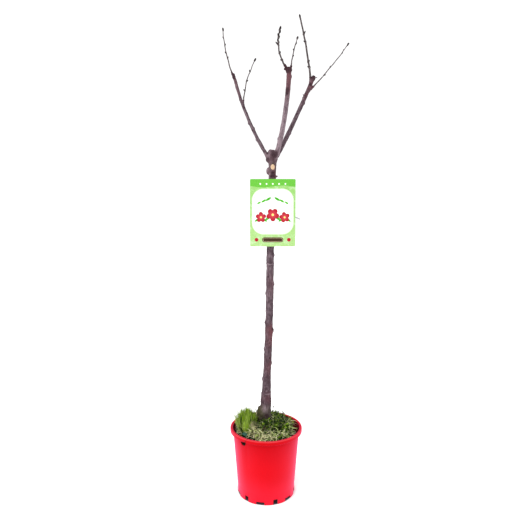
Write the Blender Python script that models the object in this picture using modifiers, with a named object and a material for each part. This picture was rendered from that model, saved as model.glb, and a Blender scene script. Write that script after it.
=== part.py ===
"""Potted cherry tree in winter: a grafted whip with three pruned boughs and bare shoots, standing in a red
nursery pot filled with soil, low green cover and a label card strapped to the trunk.

Metres, +Z up. The origin is the middle of the pot's underside, and the label faces -Y.
"""

import math
import random

import bmesh
import bpy
from mathutils import Matrix, Vector

GAP = 0.0003  # clearance that keeps two touching solids apart

# Pot: a turned shell with a rolled lip, drain cuts round its foot and a label slot under the lip.
POT_HEIGHT = 0.220
LIP_RADIUS = 0.1200
LIP_DROP = 0.0120
MOUTH_RADIUS = 0.1120
FOOT_RADIUS = 0.0952
FOOT_BAND = 0.034
WALL = 0.0022
FLOOR_RAISE = 0.004
CENTRE_FOOT_RADIUS = 0.022
POT_STEPS = 40
LIP_ROUNDING = 0.0020
WALL_TOP_DROP = 0.0120
WALL_TOP_INSET = 0.0015
LIP_FILLET = 0.0010
DRAIN_CUTS = 12
DRAIN_PITCH = math.radians(30)
DRAIN_PHASE = math.radians(-12)
WIDE_CUT = (0.027, 0.0095)
TALL_CUT = (0.0150, 0.0170)
CUT_DEPTH = 0.024
CUT_INSET = 0.004
CUT_BELOW = 0.005
SLOT_ANGLE = math.radians(-42.9)
SLOT_HOLE = (0.0105, 0.0085)
SLOT_CENTRE_HEIGHT = 0.1985
SLOT_CENTRE_RADIUS = 0.113
SLOT_DEPTH = 0.030
SLOT_ARC = (80, 28, 11)  # first angle, step and number of the hole's points, in degrees
SLOT_SLIT = ((0.0170, 0.0090), (0.0243, 0.0230), (0.0220, 0.0230), (0.0145, 0.0105))

# Soil: fills the pot to a level pad round the trunk, a little lower at the wall.
SOIL_TOP = 0.198
SOIL_EDGE = 0.188
SOIL_PAD_RADIUS = 0.050
SOIL_RIM = (0.018, 0.003)  # a low bank along the wall: its width and height

# Trunk: from the soil to the fork head, leaning slightly to +X, with its graft union low on the left.
FORK = Vector((0.0205, 0.0, 1.112))
FORK_RADIUS = 0.0195
TRUNK_FOOT = Vector((-0.0040, 0.0, SOIL_TOP + GAP))
TRUNK_RADIUS_LOW = 0.0134
TRUNK_RADIUS_HIGH = 0.0120
TRUNK_RINGS = 30
TRUNK_SWAY = 0.0038
TRUNK_SWAY_HEIGHT = 0.57
TRUNK_SWAY_SPREAD = 0.19
TRUNK_SWAY_DEPTH = 0.0012
ROOT_RING = 0.006
ROOT_FLARE = (0.0095, 0.016)
STEM_SWELL = (0.0052, 0.285, 0.065)
FORK_SWELL = (0.0070, 1.116, 0.020)
GRAFT_CENTRE = Vector((-0.0120, -0.0020, 0.2700))
GRAFT_RADII = (0.0195, 0.0205, 0.0220)
BURL_CENTRE = Vector((0.0080, 0.0, 1.0665))
BURL_RADII = (0.0080, 0.0090, 0.0125)
# Stubs on the trunk: foot, heading (lean, azimuth), length, two radii and sides.
TRUNK_STUBS = {
    "pruned_branch": (Vector((0.0200, -0.004, 1.0710)), (68, -90), 0.0175, 0.0090, 0.0080, 12),
    "broken_spur": (Vector((0.0280, -0.001, 1.0480)), (72, -15), 0.0088, 0.0042, 0.0020, 6),
    "leader_stub": (FORK + Vector((-0.001, 0, 0.008)), (12, 60), 0.0125, 0.0110, 0.0085, 10),
}
# Bud scars up the trunk: the azimuth of each row and its heights. The last row is at the back.
TRUNK_KNOTS = {
    -10: (0.436, 0.546, 0.700, 0.795),
    185: (0.382, 0.482, 0.573, 0.670),
    90: (0.510, 0.745, 0.880),
}
TRUNK_KNOT_RADII = (0.0042, 0.0042, 0.0055)
TRUNK_KNOT_SINK = 0.001

# Label: a bowed card on a strap that is drawn round the trunk.
CARD_CENTRE = Vector((0.0204, -0.0214, 0.9317))
CARD_SIZE = (0.1455, 0.2152)
CARD_THICKNESS = 0.0008
CARD_BOW = 0.0022
STRAP_HEIGHT = 0.9260
STRAP_WIDTH = 0.0048
STRAP_THICKNESS = 0.0010
STRAP_CLEARANCE = 0.0007
STRAP_TAIL = 0.0925
STRAP_DROOP = 0.014
STRAP_HEAD = (0.0085, 0.0048, 0.0078)
STRAP_HEAD_OUT = 0.0020
STRAP_RING = (-76, 332, 28)  # start and sweep in degrees, and the number of turns of the band
STRAP_TAIL_STEPS = 10
STRAP_TAIL_BACK = 0.0010
PAD_FACE = (0.014, 0.018)

SEED = 11


def clear_scene():
    for old in list(bpy.data.objects):
        bpy.data.objects.remove(old, do_unlink=True)


def collection(name):
    made = bpy.data.collections.new(name)
    bpy.context.scene.collection.children.link(made)
    return made


def material(name, colour, roughness, metallic=0.0):
    made = bpy.data.materials.new(name)
    made.use_nodes = True
    shader = made.node_tree.nodes["Principled BSDF"]
    shader.inputs["Base Color"].default_value = (*colour, 1.0)
    shader.inputs["Roughness"].default_value = roughness
    shader.inputs["Metallic"].default_value = metallic
    return made


def add(name, mesh, where, finish=None):
    made = bpy.data.objects.new(name, mesh)
    where.objects.link(made)
    if finish:
        mesh.materials.append(finish)
    return made


def hide_cutter(cutter):
    cutter.hide_render = True
    cutter.display_type = "WIRE"
    return cutter


def bake(piece):
    """Replaces a piece's mesh by its evaluated one and drops its modifiers."""
    bpy.context.view_layer.update()
    graph = bpy.context.evaluated_depsgraph_get()
    mesh = bpy.data.meshes.new_from_object(piece.evaluated_get(graph))
    piece.modifiers.clear()
    piece.data = mesh
    return piece


def join(piece, extras, solver="EXACT"):
    """Fuses the extras into the piece with one Boolean on their collection."""
    holder = collection("joining")
    for extra in extras:
        for owner in list(extra.users_collection):
            owner.objects.unlink(extra)
        holder.objects.link(extra)
    union = piece.modifiers.new("union", "BOOLEAN")
    union.operation = "UNION"
    union.operand_type = "COLLECTION"
    union.collection = holder
    union.solver = solver
    bake(piece)
    for extra in list(holder.objects):
        bpy.data.objects.remove(extra, do_unlink=True)
    bpy.data.collections.remove(holder)
    return piece


def carve(piece, cutter, solver="EXACT"):
    """Cuts the cutter's shape out of the piece and keeps the modifier live."""
    cut = piece.modifiers.new("cut", "BOOLEAN")
    cut.operation = "DIFFERENCE"
    cut.object = cutter
    cut.solver = solver
    hide_cutter(cutter)


def block(name, centre, size, where):
    """A box of the given size, left as a unit cube with its scale on the object."""
    bpy.ops.mesh.primitive_cube_add(size=1.0)
    made = bpy.context.object
    made.name = name
    for owner in list(made.users_collection):
        owner.objects.unlink(made)
    where.objects.link(made)
    made.scale = size
    made.location = centre
    return made


def ball(name, centre, radii, where, segments=12, rings=8, turn=None):
    """An ellipsoid with the given half-sizes, turned by a matrix where one is given."""
    mesh = bpy.data.meshes.new(name)
    shape = bmesh.new()
    bmesh.ops.create_uvsphere(shape, u_segments=segments, v_segments=rings, radius=1.0)
    place = Matrix.Translation(centre) @ (turn or Matrix.Identity(4)) @ Matrix.Diagonal((*radii, 1.0))
    bmesh.ops.transform(shape, matrix=place, verts=shape.verts)
    shape.to_mesh(mesh)
    shape.free()
    return add(name, mesh, where)


def spike(name, foot, direction, length, radius, tip_radius, where, sides=6):
    """A tapering stub that starts at foot and points along direction."""
    mesh = bpy.data.meshes.new(name)
    shape = bmesh.new()
    bmesh.ops.create_cone(
        shape, cap_ends=True, segments=sides, radius1=radius, radius2=tip_radius, depth=length
    )
    turn = direction.to_track_quat("Z", "Y").to_matrix().to_4x4()
    place = Matrix.Translation(foot) @ turn @ Matrix.Translation((0, 0, length / 2))
    bmesh.ops.transform(shape, matrix=place, verts=shape.verts)
    shape.to_mesh(mesh)
    shape.free()
    return add(name, mesh, where)


def turned(name, profile, steps, where, finish):
    """A profile in the XZ plane, turned round Z with a Screw modifier."""
    mesh = bpy.data.meshes.new(name)
    shape = bmesh.new()
    points = [shape.verts.new((r, 0.0, z)) for r, z in profile]
    for a, b in zip(points, points[1:]):
        shape.edges.new((a, b))
    shape.to_mesh(mesh)
    shape.free()
    piece = add(name, mesh, where, finish)
    screw = piece.modifiers.new("turn", "SCREW")
    screw.steps = screw.render_steps = steps
    screw.use_merge_vertices = True
    screw.merge_threshold = 0.00005
    return piece


def heading(lean, azimuth):
    """A unit vector that leans from +Z towards an azimuth counted from +X, in degrees."""
    tilt, turn = math.radians(lean), math.radians(azimuth)
    return Vector((math.sin(tilt) * math.cos(turn), math.sin(tilt) * math.sin(turn), math.cos(tilt)))


class Limb:
    """A tapering limb whose heading swings evenly from its foot to its tip."""

    def __init__(self, foot, start, end, length, radius, tip_radius, rings):
        self.radius, self.tip_radius, self.rings, self.length = radius, tip_radius, rings, length
        first, last = heading(*start), heading(*end)
        self.points = [foot.copy()]
        for i in range(rings):
            middle = (i + 0.5) / rings
            self.points.append(self.points[-1] + first.lerp(last, middle).normalized() * (length / rings))

    def at(self, t):
        i = min(int(t * self.rings), self.rings - 1)
        return self.points[i].lerp(self.points[i + 1], t * self.rings - i)

    def along(self, t):
        i = min(int(t * self.rings), self.rings - 1)
        return (self.points[i + 1] - self.points[i]).normalized()

    def thickness(self, t):
        return self.radius + (self.tip_radius - self.radius) * t

    def side(self, t, angle):
        """The way out of the limb: 0 is to the right as the label is faced, 180 to the left."""
        along = self.along(t)
        right = along.cross(Vector((0, -1, 0))).normalized()
        back = along.cross(right)
        return right * math.cos(math.radians(angle)) + back * math.sin(math.radians(angle))


def mesh_of(curve, where):
    """A curve's evaluated mesh with its caps welded on; the curve itself is removed."""
    guide = add(curve.name + "_line", curve, where)
    bpy.context.view_layer.update()
    graph = bpy.context.evaluated_depsgraph_get()
    mesh = bpy.data.meshes.new_from_object(guide.evaluated_get(graph))
    bpy.data.objects.remove(guide, do_unlink=True)
    shape = bmesh.new()
    shape.from_mesh(mesh)
    bmesh.ops.remove_doubles(shape, verts=shape.verts, dist=0.00001)
    bmesh.ops.recalc_face_normals(shape, faces=shape.faces)
    shape.to_mesh(mesh)
    shape.free()
    mesh.materials.clear()
    return mesh


def tube(name, points, radii, where, finish, sides_level):
    """A filled tube through points, as a bevelled poly curve made into a welded mesh."""
    curve = bpy.data.curves.new(name, "CURVE")
    curve.dimensions = "3D"
    curve.bevel_depth = 1.0
    curve.bevel_resolution = sides_level
    curve.use_fill_caps = True
    spline = curve.splines.new("POLY")
    spline.points.add(len(points) - 1)
    for slot, point, radius in zip(spline.points, points, radii):
        slot.co = (*point, 1.0)
        slot.radius = radius
    return add(name, mesh_of(curve, where), where, finish)


def bump(base, peak, centre, spread, z):
    return base + peak * math.exp(-(((z - centre) / spread) ** 2))


def trunk_centre(z):
    """The trunk's centre line at a height: an even lean with one slow sway."""
    share = (z - TRUNK_FOOT.z) / (FORK.z - TRUNK_FOOT.z)
    centre = TRUNK_FOOT.lerp(FORK, share)
    centre.x += bump(0.0, TRUNK_SWAY, TRUNK_SWAY_HEIGHT, TRUNK_SWAY_SPREAD, z)
    centre.y += TRUNK_SWAY_DEPTH * math.sin(2 * math.pi * share)
    centre.z = z
    return centre


def trunk_radius(z):
    share = (z - TRUNK_FOOT.z) / (FORK.z - TRUNK_FOOT.z)
    radius = TRUNK_RADIUS_LOW + (TRUNK_RADIUS_HIGH - TRUNK_RADIUS_LOW) * share
    radius += ROOT_FLARE[0] * math.exp(-(z - TRUNK_FOOT.z) / ROOT_FLARE[1])
    radius = bump(radius, *STEM_SWELL, z)
    return bump(radius, *FORK_SWELL, z)


def make_pot(parts, cutters, red):
    lip_inner = LIP_RADIUS - WALL
    lip_bottom = POT_HEIGHT - LIP_DROP
    wall_top = POT_HEIGHT - WALL_TOP_DROP
    profile = [
        (0.0, FLOOR_RAISE + WALL),
        (FOOT_RADIUS - WALL, FLOOR_RAISE + WALL),
        (FOOT_RADIUS - WALL, FOOT_BAND),
        (MOUTH_RADIUS - WALL - WALL_TOP_INSET, wall_top),
        (MOUTH_RADIUS, POT_HEIGHT - LIP_ROUNDING),
        (MOUTH_RADIUS + WALL_TOP_INSET, POT_HEIGHT),
        (LIP_RADIUS - LIP_ROUNDING, POT_HEIGHT),
        (LIP_RADIUS, POT_HEIGHT - LIP_ROUNDING),
        (LIP_RADIUS, lip_bottom),
        (lip_inner, lip_bottom),
        (lip_inner, POT_HEIGHT - WALL - LIP_FILLET),
        (MOUTH_RADIUS + LIP_FILLET, POT_HEIGHT - WALL - WALL_TOP_INSET),
        (MOUTH_RADIUS - LIP_ROUNDING, wall_top - LIP_ROUNDING),
        (FOOT_RADIUS, FOOT_BAND),
        (FOOT_RADIUS, 0.0),
        (FOOT_RADIUS - WALL, 0.0),
        (FOOT_RADIUS - WALL, FLOOR_RAISE),
        (CENTRE_FOOT_RADIUS, FLOOR_RAISE),
        (CENTRE_FOOT_RADIUS, 0.0),
        (0.0, 0.0),
    ]
    pot = turned("pot", profile, POT_STEPS, parts, red)
    for i in range(DRAIN_CUTS):
        width, height = WIDE_CUT if i % 2 == 0 else TALL_CUT
        carve(pot, wall_cutter(f"drain_{i}", DRAIN_PHASE + i * DRAIN_PITCH, width, height, cutters))
    carve(pot, slot_cutter(cutters))
    return pot


def wall_cutter(name, angle, width, height, cutters):
    """A box across the pot's foot at an angle from the front, counted towards +X."""
    radius = FOOT_RADIUS - CUT_INSET
    centre = (radius * math.sin(angle), -radius * math.cos(angle), (height - CUT_BELOW) / 2)
    box = block(name, centre, (width, CUT_DEPTH, height + CUT_BELOW), cutters)
    box.rotation_euler = (0, 0, angle)
    return box


def slot_cutter(cutters):
    """The label slot: a drop-shaped hole under the lip whose point runs up through the lip as a slit."""
    outline = []
    first, step, count = SLOT_ARC
    for i in range(count):
        angle = math.radians(first + i * step)
        outline.append((math.cos(angle) * SLOT_HOLE[0], math.sin(angle) * SLOT_HOLE[1]))
    outline += SLOT_SLIT
    curve = bpy.data.curves.new("slot", "CURVE")
    curve.dimensions = "2D"
    curve.fill_mode = "BOTH"
    curve.extrude = SLOT_DEPTH / 2
    spline = curve.splines.new("POLY")
    spline.points.add(len(outline) - 1)
    spline.use_cyclic_u = True
    for point, (s, z) in zip(spline.points, outline):
        point.co = (s, z, 0.0, 1.0)
    mesh = mesh_of(curve, cutters)
    slot = add("slot", mesh, cutters)
    slot.matrix_world = (
        Matrix.Rotation(SLOT_ANGLE, 4, "Z")
        @ Matrix.Translation((0, -SLOT_CENTRE_RADIUS, SLOT_CENTRE_HEIGHT))
        @ Matrix.Rotation(math.radians(90), 4, "X")
    )
    return slot


def make_soil(parts, brown):
    low = FLOOR_RAISE + WALL + GAP
    foot = FOOT_RADIUS - WALL - GAP
    slope = (MOUTH_RADIUS - WALL_TOP_INSET - FOOT_RADIUS) / (POT_HEIGHT - WALL_TOP_DROP - FOOT_BAND)
    edge = foot + slope * (SOIL_EDGE - FOOT_BAND)
    bank_width, bank_height = SOIL_RIM
    profile = [
        (0.0, SOIL_TOP),
        (SOIL_PAD_RADIUS, SOIL_TOP),
        (edge - bank_width, SOIL_EDGE + bank_height),
        (edge, SOIL_EDGE),
        (foot, FOOT_BAND),
        (foot, low),
        (0.0, low),
    ]
    return turned("soil", profile, POT_STEPS, parts, brown)


def make_trunk(parts, bark):
    heights = [TRUNK_FOOT.z + (FORK.z - TRUNK_FOOT.z) * (i / TRUNK_RINGS) for i in range(TRUNK_RINGS + 1)]
    heights.insert(1, TRUNK_FOOT.z + ROOT_RING)
    centres = [trunk_centre(z) for z in heights]
    centres[1].x, centres[1].y = centres[0].x, centres[0].y
    trunk = tube("trunk", centres, [trunk_radius(z) for z in heights], parts, bark, 4)
    extras = [
        ball("fork_head", FORK, (FORK_RADIUS,) * 3, parts, 16, 12),
        ball("graft_union", GRAFT_CENTRE, GRAFT_RADII, parts, 16, 10),
        ball("branch_burl", BURL_CENTRE, BURL_RADII, parts, 12, 8),
    ]
    for name, (foot, way, length, radius, tip_radius, sides) in TRUNK_STUBS.items():
        extras.append(spike(name, foot, heading(*way), length, radius, tip_radius, parts, sides))
    extras += trunk_knots(parts)
    return join(trunk, extras)


def trunk_knots(parts):
    """Bud scars up the stem: alternately on its right and left, with a few at the back."""
    knots = []
    for angle, heights in TRUNK_KNOTS.items():
        for z in heights:
            centre = trunk_centre(z) + heading(90, angle) * (trunk_radius(z) - TRUNK_KNOT_SINK)
            knots.append(ball("knot", centre, TRUNK_KNOT_RADII, parts, 6, 6))
    return knots


# Each bough: foot as an offset from the fork head, start and end heading (lean, azimuth), length and radii.
BOUGHS = {
    "bough_left": ((-0.0160, -0.002, -0.001), (32.0, 160), (17.0, 143), 0.306, 0.0060, 0.0049),
    "bough_centre": ((0.0120, -0.0080, 0.003), (23.5, -52), (18.0, -87), 0.264, 0.0082, 0.0072),
    "bough_right": ((0.0130, 0.0080, 0.001), (29.0, 23), (24.5, 27), 0.305, 0.0076, 0.0064),
}
BOUGH_RINGS = 10
# Bud scars of each bough: the share of its length and the side.
BOUGH_KNOTS = {
    "bough_left": ((0.22, 180), (0.35, 0), (0.42, 180), (0.80, 90)),
    "bough_centre": ((0.20, 180), (0.55, 90), (0.90, 0)),
    "bough_right": ((0.45, 90), (0.67, 0)),
}
BOUGH_KNOT_RADII = (0.0034, 0.0034, 0.0050)
BOUGH_KNOT_SINK = 0.0019
# A thorn on one bough: the bough, the share of its length, the side, how far out it starts, length and radii.
THORN = ("bough_right", 0.74, 180, 0.004, 0.0125, 0.0020, 0.0009)

# Each shoot: its bough, the share of the bough where it leaves, its side, how many bough radii out its foot
# sits, its stem's length and its knuckle's radius, start and end heading, length, radii, the shares where its
# buds stand, which of them are carried on spurs, and the side of the first bud.
SHOOTS = {
    "twigs_left_tip": (
        "bough_left", 0.985, 175, 0.60, 0.008, 0.0040, (22.0, 158), (10.5, 110), 0.1625, 0.0023, 0.0015,
        (0.38, 0.49, 0.66, 0.82), (), 0,
    ),
    "twigs_left_side": (
        "bough_left", 0.655, -30, 0.85, 0.010, 0.0034, (13.0, -76), (32.5, -23), 0.1365, 0.0021, 0.0014,
        (0.28, 0.50, 0.72), (), 180,
    ),
    "twigs_centre_left": (
        "bough_centre", 0.975, 180, 0.75, 0.014, 0.0046, (44.5, -158), (22.5, -41), 0.118, 0.0026, 0.0019,
        (0.26, 0.43, 0.62, 0.80), (0.62,), 180,
    ),
    "twigs_centre_right": (
        "bough_centre", 0.985, 10, 0.70, 0.008, 0.0036, (14.5, 71), (23.0, 36), 0.1035, 0.0020, 0.0014,
        (0.40, 0.60, 0.80), (), 0,
    ),
    "twigs_right_tip": (
        "bough_right", 0.955, 185, 0.90, 0.008, 0.0052, (10.5, -134), (17.0, -154), 0.198, 0.0034, 0.0025,
        (0.20, 0.29, 0.60, 0.72), (0.72,), 180,
    ),
    "twigs_right_side": (
        "bough_right", 0.835, 10, 1.15, 0.016, 0.0043, (45.0, 25), (37.5, 28), 0.229, 0.0022, 0.0014,
        (0.33, 0.50, 0.80, 0.87), (), -30,
    ),
}


def make_boughs(parts, bark):
    limbs, pieces = {}, {}
    for name, (offset, start, end, length, radius, tip_radius) in BOUGHS.items():
        limb = Limb(FORK + Vector(offset), start, end, length, radius, tip_radius, BOUGH_RINGS)
        radii = [limb.thickness(i / limb.rings) for i in range(limb.rings + 1)]
        piece = tube(name, limb.points, radii, parts, bark, 3)
        knots = []
        for t, side in BOUGH_KNOTS[name]:
            centre = limb.at(t) + limb.side(t, side) * (limb.thickness(t) - BOUGH_KNOT_SINK)
            knots.append(ball("knot", centre, BOUGH_KNOT_RADII, parts, 6, 6))
        join(piece, knots)
        limbs[name], pieces[name] = limb, piece
    owner, t, side, start_out, length, radius, tip_radius = THORN
    limb = limbs[owner]
    out = limb.side(t, side)
    foot = limb.at(t) + out * start_out
    join(pieces[owner], [spike("thorn", foot, out + limb.along(t), length, radius, tip_radius, parts)])
    return limbs, pieces


# Buds: how far each turns off its limb's sides in degrees, and length and radius by kind.
BUD_SWING = 25
SIDE_BUD = ((0.007, 0.009), 0.0023)
SPUR_BUD = (0.0085, 0.0024)
END_BUD = (0.0125, 0.0031)
BESIDE_BUD = (0.0090, 0.0024)
SPUR_REACH = (0.012, 0.016)
SPUR_TIP_RADIUS = 0.0014
SPUR_BUD_SINK = 0.003
END_BUD_SINK = 0.002
FOOT_SINK = 0.4  # how deep a bud's or spur's foot sits in its limb, as a share of the limb's radius


def bud(foot, direction, length, radius, parts):
    """A pointed winter bud, as a slim ellipsoid that stands out of its foot."""
    turn = direction.to_track_quat("Z", "Y").to_matrix().to_4x4()
    return ball("bud", foot + direction * length * 0.42, (radius, radius, length / 2), parts, 6, 5, turn)


def shoot_extras(limb, buds, spurs, first_side, chance, parts):
    """Buds on alternate sides of a shoot by a seeded rule, some carried on short spurs, and the end bud."""
    extras = []
    for i, t in enumerate(buds):
        out = limb.side(t, first_side + 180 * i + chance.uniform(-BUD_SWING, BUD_SWING))
        along = limb.along(t)
        foot = limb.at(t) + out * limb.thickness(t) * FOOT_SINK
        if t in spurs:
            way = (out * 0.55 + along * 0.83).normalized()
            reach = chance.uniform(*SPUR_REACH)
            extras.append(spike("spur", foot, way, reach, limb.thickness(t) * 0.8, SPUR_TIP_RADIUS, parts))
            extras.append(bud(foot + way * (reach - SPUR_BUD_SINK), way, *SPUR_BUD, parts))
        else:
            way = (out * 0.6 + along * 0.8).normalized()
            foot += out * limb.thickness(t) * FOOT_SINK
            lengths, radius = SIDE_BUD
            extras.append(bud(foot, way, chance.uniform(*lengths), radius, parts))
    tip = limb.along(1.0)
    extras.append(bud(limb.at(1.0) - tip * END_BUD_SINK, tip, *END_BUD, parts))
    beside = (tip + limb.side(0.97, first_side) * 0.5).normalized()
    extras.append(bud(limb.at(0.97), beside, *BESIDE_BUD, parts))
    return extras


SHOOT_RING = 0.020


def make_shoots(limbs, pieces, parts, cutters, twig):
    """Shoots that start 0.3 mm clear of a knuckle, which a short stem joins to the bough."""
    chance = random.Random(SEED)
    for name, shoot in SHOOTS.items():
        parent, t, side, reach, stem, knuckle, start, end, length = shoot[:9]
        radius, tip_radius, buds, spurs, first = shoot[9:]
        bough = limbs[parent]
        foot = bough.at(t) + heading(90, side) * bough.thickness(t) * reach
        rings = max(5, round(length / SHOOT_RING))
        limb = Limb(foot, start, end, length, radius, tip_radius, rings)
        leave = stem / length
        shares = [leave + (1 - leave) * i / rings for i in range(rings + 1)]
        piece = tube(name, [limb.at(u) for u in shares], [limb.thickness(u) for u in shares], parts, twig, 2)
        join(piece, shoot_extras(limb, buds, spurs, first, chance, parts), "MANIFOLD")
        head = limb.at(leave)
        neck = spike("stem", foot, (head - foot).normalized(), stem, knuckle * 0.85, knuckle * 0.85, parts, 8)
        join(pieces[parent], [ball("knuckle", head, (knuckle,) * 3, parts, 10, 8), neck])
        carve(piece, ball(name + "_seat", head, (knuckle + GAP * 1.2,) * 3, cutters, 10, 8), "MANIFOLD")


def seat_boughs(pieces, cutters):
    """Ends each bough 0.3 mm clear of the fork head."""
    seat = ball("fork_seat", FORK, (FORK_RADIUS + GAP * 1.15,) * 3, cutters, 16, 12)
    for piece in pieces.values():
        carve(piece, seat)


# Each mass of low cover on the soil: middle, half-sizes, number of blades, their length and their lean.
COVER = {
    "green_tuft": ((-0.0570, -0.0280), (0.0325, 0.0360, 0.0600), 76, 0.044, 0.28),
    "cover_front": ((0.0190, -0.0695), (0.0500, 0.0265, 0.0210), 34, 0.024, 0.90),
    "cover_right": ((0.0640, 0.0030), (0.0350, 0.0440, 0.0310), 36, 0.030, 0.75),
    "cover_back": ((-0.0160, 0.0670), (0.0600, 0.0300, 0.0270), 36, 0.030, 0.75),
}
COVER_REACH = 0.1048
TRUNK_CLEARANCE = 0.030
BLADE_RADIUS = 0.0018
BLADE_SINK = 0.005


def inside_mouth(point):
    """Moves a blade's tip off the pot's wall and off the trunk."""
    reach = math.hypot(point.x, point.y)
    if reach > COVER_REACH:
        point.x *= COVER_REACH / reach
        point.y *= COVER_REACH / reach
    near = Vector((point.x - TRUNK_FOOT.x, point.y - TRUNK_FOOT.y, 0))
    if near.length < TRUNK_CLEARANCE:
        point += near.normalized() * (TRUNK_CLEARANCE - near.length)
    return point


def blade_feet(middle, radii, count, base):
    """Feet spread evenly over a dome by the golden angle, with each foot's way out in plan."""
    for i in range(count):
        turn = i * math.radians(137.5)
        spread = math.sqrt((i + 0.5) / count) * 0.90
        out = Vector((math.cos(turn) * spread, math.sin(turn) * spread, 0))
        rise = radii[2] * math.sqrt(1 - spread**2)
        yield Vector((middle[0] + out.x * radii[0], middle[1] + out.y * radii[1], base + rise)), out


def make_cover(parts, greens):
    """Dome-shaped masses on the soil, each a core with seeded blades that stand out of it."""
    chance = random.Random(SEED + 1)
    base = SOIL_TOP + GAP
    for name, (middle, radii, count, length, lean) in COVER.items():
        core = ball(name, (*middle, base), radii, parts, 16, 10)
        core.data.materials.append(greens[name])
        blades = []
        for foot, out in blade_feet(middle, radii, count, base):
            way = Vector((out.x * lean, out.y * lean, 1.0 - 0.35 * lean))
            way += Vector((chance.uniform(-0.3, 0.3), chance.uniform(-0.3, 0.3), 0)) * (0.4 + lean)
            tip = inside_mouth(foot + way.normalized() * length * chance.uniform(0.6, 1.0))
            way = tip - foot
            start = foot - way.normalized() * BLADE_SINK
            length_in_all = way.length + BLADE_SINK
            blades.append(spike("blade", start, way.normalized(), length_in_all, BLADE_RADIUS, 0.0, parts, 3))
        join(core, blades, "MANIFOLD")
        trim_below(core, (middle[0], middle[1], base), radii)


def trim_below(piece, centre, radii):
    """Cuts a mass off level at the soil and removes the cutting block."""
    depth = radii[2] * 2
    holder = collection("trimming")
    middle = (centre[0], centre[1], centre[2] - depth / 2)
    cutter = block("trim", middle, (radii[0] * 3, radii[1] * 3, depth), holder)
    cut = piece.modifiers.new("trim", "BOOLEAN")
    cut.operation = "DIFFERENCE"
    cut.object = cutter
    cut.solver = "MANIFOLD"
    bake(piece)
    bpy.data.objects.remove(cutter, do_unlink=True)
    bpy.data.collections.remove(holder)


CARD_STRIPS = 12


def make_card(parts, card_finish):
    """The label card: a thin sheet, bowed forward in the middle and given its thickness by Solidify."""
    width, height = CARD_SIZE
    bpy.ops.mesh.primitive_grid_add(x_subdivisions=CARD_STRIPS, y_subdivisions=2, size=1.0)
    card = bpy.context.object
    card.name = "label_card"
    for owner in list(card.users_collection):
        owner.objects.unlink(card)
    parts.objects.link(card)
    for v in card.data.vertices:
        across, up = v.co.x * 2, v.co.y
        v.co = (across * width / 2, CARD_BOW * across**2, up * height)
    card.location = CARD_CENTRE
    card.data.materials.append(card_finish)
    thick = card.modifiers.new("thickness", "SOLIDIFY")
    thick.thickness = CARD_THICKNESS
    thick.offset = 0.0
    return card


def strip(name, route, parts):
    """A band that stands on edge along a route of points, with its thickness from Solidify, applied."""
    mesh = bpy.data.meshes.new(name)
    shape = bmesh.new()
    half = Vector((0, 0, STRAP_WIDTH / 2))
    rows = [(shape.verts.new(point - half), shape.verts.new(point + half)) for point in route]
    for (a, b), (c, d) in zip(rows, rows[1:]):
        shape.faces.new((a, c, d, b))
    shape.to_mesh(mesh)
    shape.free()
    band = add(name, mesh, parts)
    thick = band.modifiers.new("thickness", "SOLIDIFY")
    thick.thickness = STRAP_THICKNESS
    thick.offset = 0.0
    return bake(band)


def strap_place():
    """The strap's middle on the trunk, and the radius that its band runs at."""
    radius = trunk_radius(STRAP_HEIGHT) + STRAP_CLEARANCE + STRAP_THICKNESS / 2
    return trunk_centre(STRAP_HEIGHT), radius


def make_strap(parts, clear_plastic):
    """A strap drawn round the trunk, its lock head in front and its loose tail drooping to the right."""
    centre, radius = strap_place()
    start, sweep, turns = STRAP_RING
    ring = []
    for i in range(turns + 1):
        angle = math.radians(start + sweep * i / turns)
        ring.append(centre + Vector((math.cos(angle) * radius, math.sin(angle) * radius, 0)))
    head_centre = centre + Vector((0, -radius - STRAP_HEAD_OUT, 0))
    tail = []
    for i in range(STRAP_TAIL_STEPS + 1):
        share = i / STRAP_TAIL_STEPS
        offset = Vector((share * STRAP_TAIL, STRAP_TAIL_BACK * share, -STRAP_DROOP * share**3))
        tail.append(head_centre + offset)
    strap = strip("label_strap", ring, parts)
    strap.data.materials.append(clear_plastic)
    return join(strap, [strip("tail", tail, parts), block("head", head_centre, STRAP_HEAD, parts)])


def make_pad(parts, foam):
    """The adhesive pad that holds the card to the strap's lock head."""
    centre, radius = strap_place()
    width, height = PAD_FACE
    back = centre.y - radius - STRAP_HEAD_OUT - STRAP_HEAD[1] / 2 - GAP
    front = CARD_CENTRE.y + CARD_THICKNESS / 2 + GAP
    middle = (centre.x, (front + back) / 2, STRAP_HEIGHT)
    pad = block("label_pad", middle, (width, back - front, height), parts)
    pad.data.materials.append(foam)
    return pad


def main():
    clear_scene()
    parts = collection("potted_cherry_tree")
    cutters = collection("cutters")
    bark = material("cherry_bark", (0.175, 0.125, 0.120), 0.75)
    twig = material("young_bark", (0.130, 0.095, 0.085), 0.65)
    greens = {
        "green_tuft": material("fresh_green", (0.20, 0.38, 0.05), 0.7),
        "cover_front": material("pale_straw", (0.50, 0.48, 0.26), 0.8),
        "cover_right": material("dark_green", (0.07, 0.15, 0.05), 0.7),
        "cover_back": material("dull_green", (0.16, 0.22, 0.08), 0.75),
    }
    make_pot(parts, cutters, material("red_plastic", (0.80, 0.012, 0.018), 0.35))
    make_soil(parts, material("potting_soil", (0.035, 0.022, 0.014), 0.95))
    make_trunk(parts, bark)
    limbs, pieces = make_boughs(parts, bark)
    make_shoots(limbs, pieces, parts, cutters, twig)
    seat_boughs(pieces, cutters)
    make_cover(parts, greens)
    make_card(parts, material("label_green", (0.42, 0.80, 0.24), 0.4))
    make_strap(parts, material("clear_strap", (0.80, 0.80, 0.80), 0.3))
    make_pad(parts, material("white_foam", (0.85, 0.85, 0.85), 0.8))
    for piece in parts.objects:
        piece.data.shade_smooth()
        piece.data.set_sharp_from_angle(angle=math.radians(40))


main()
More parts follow.
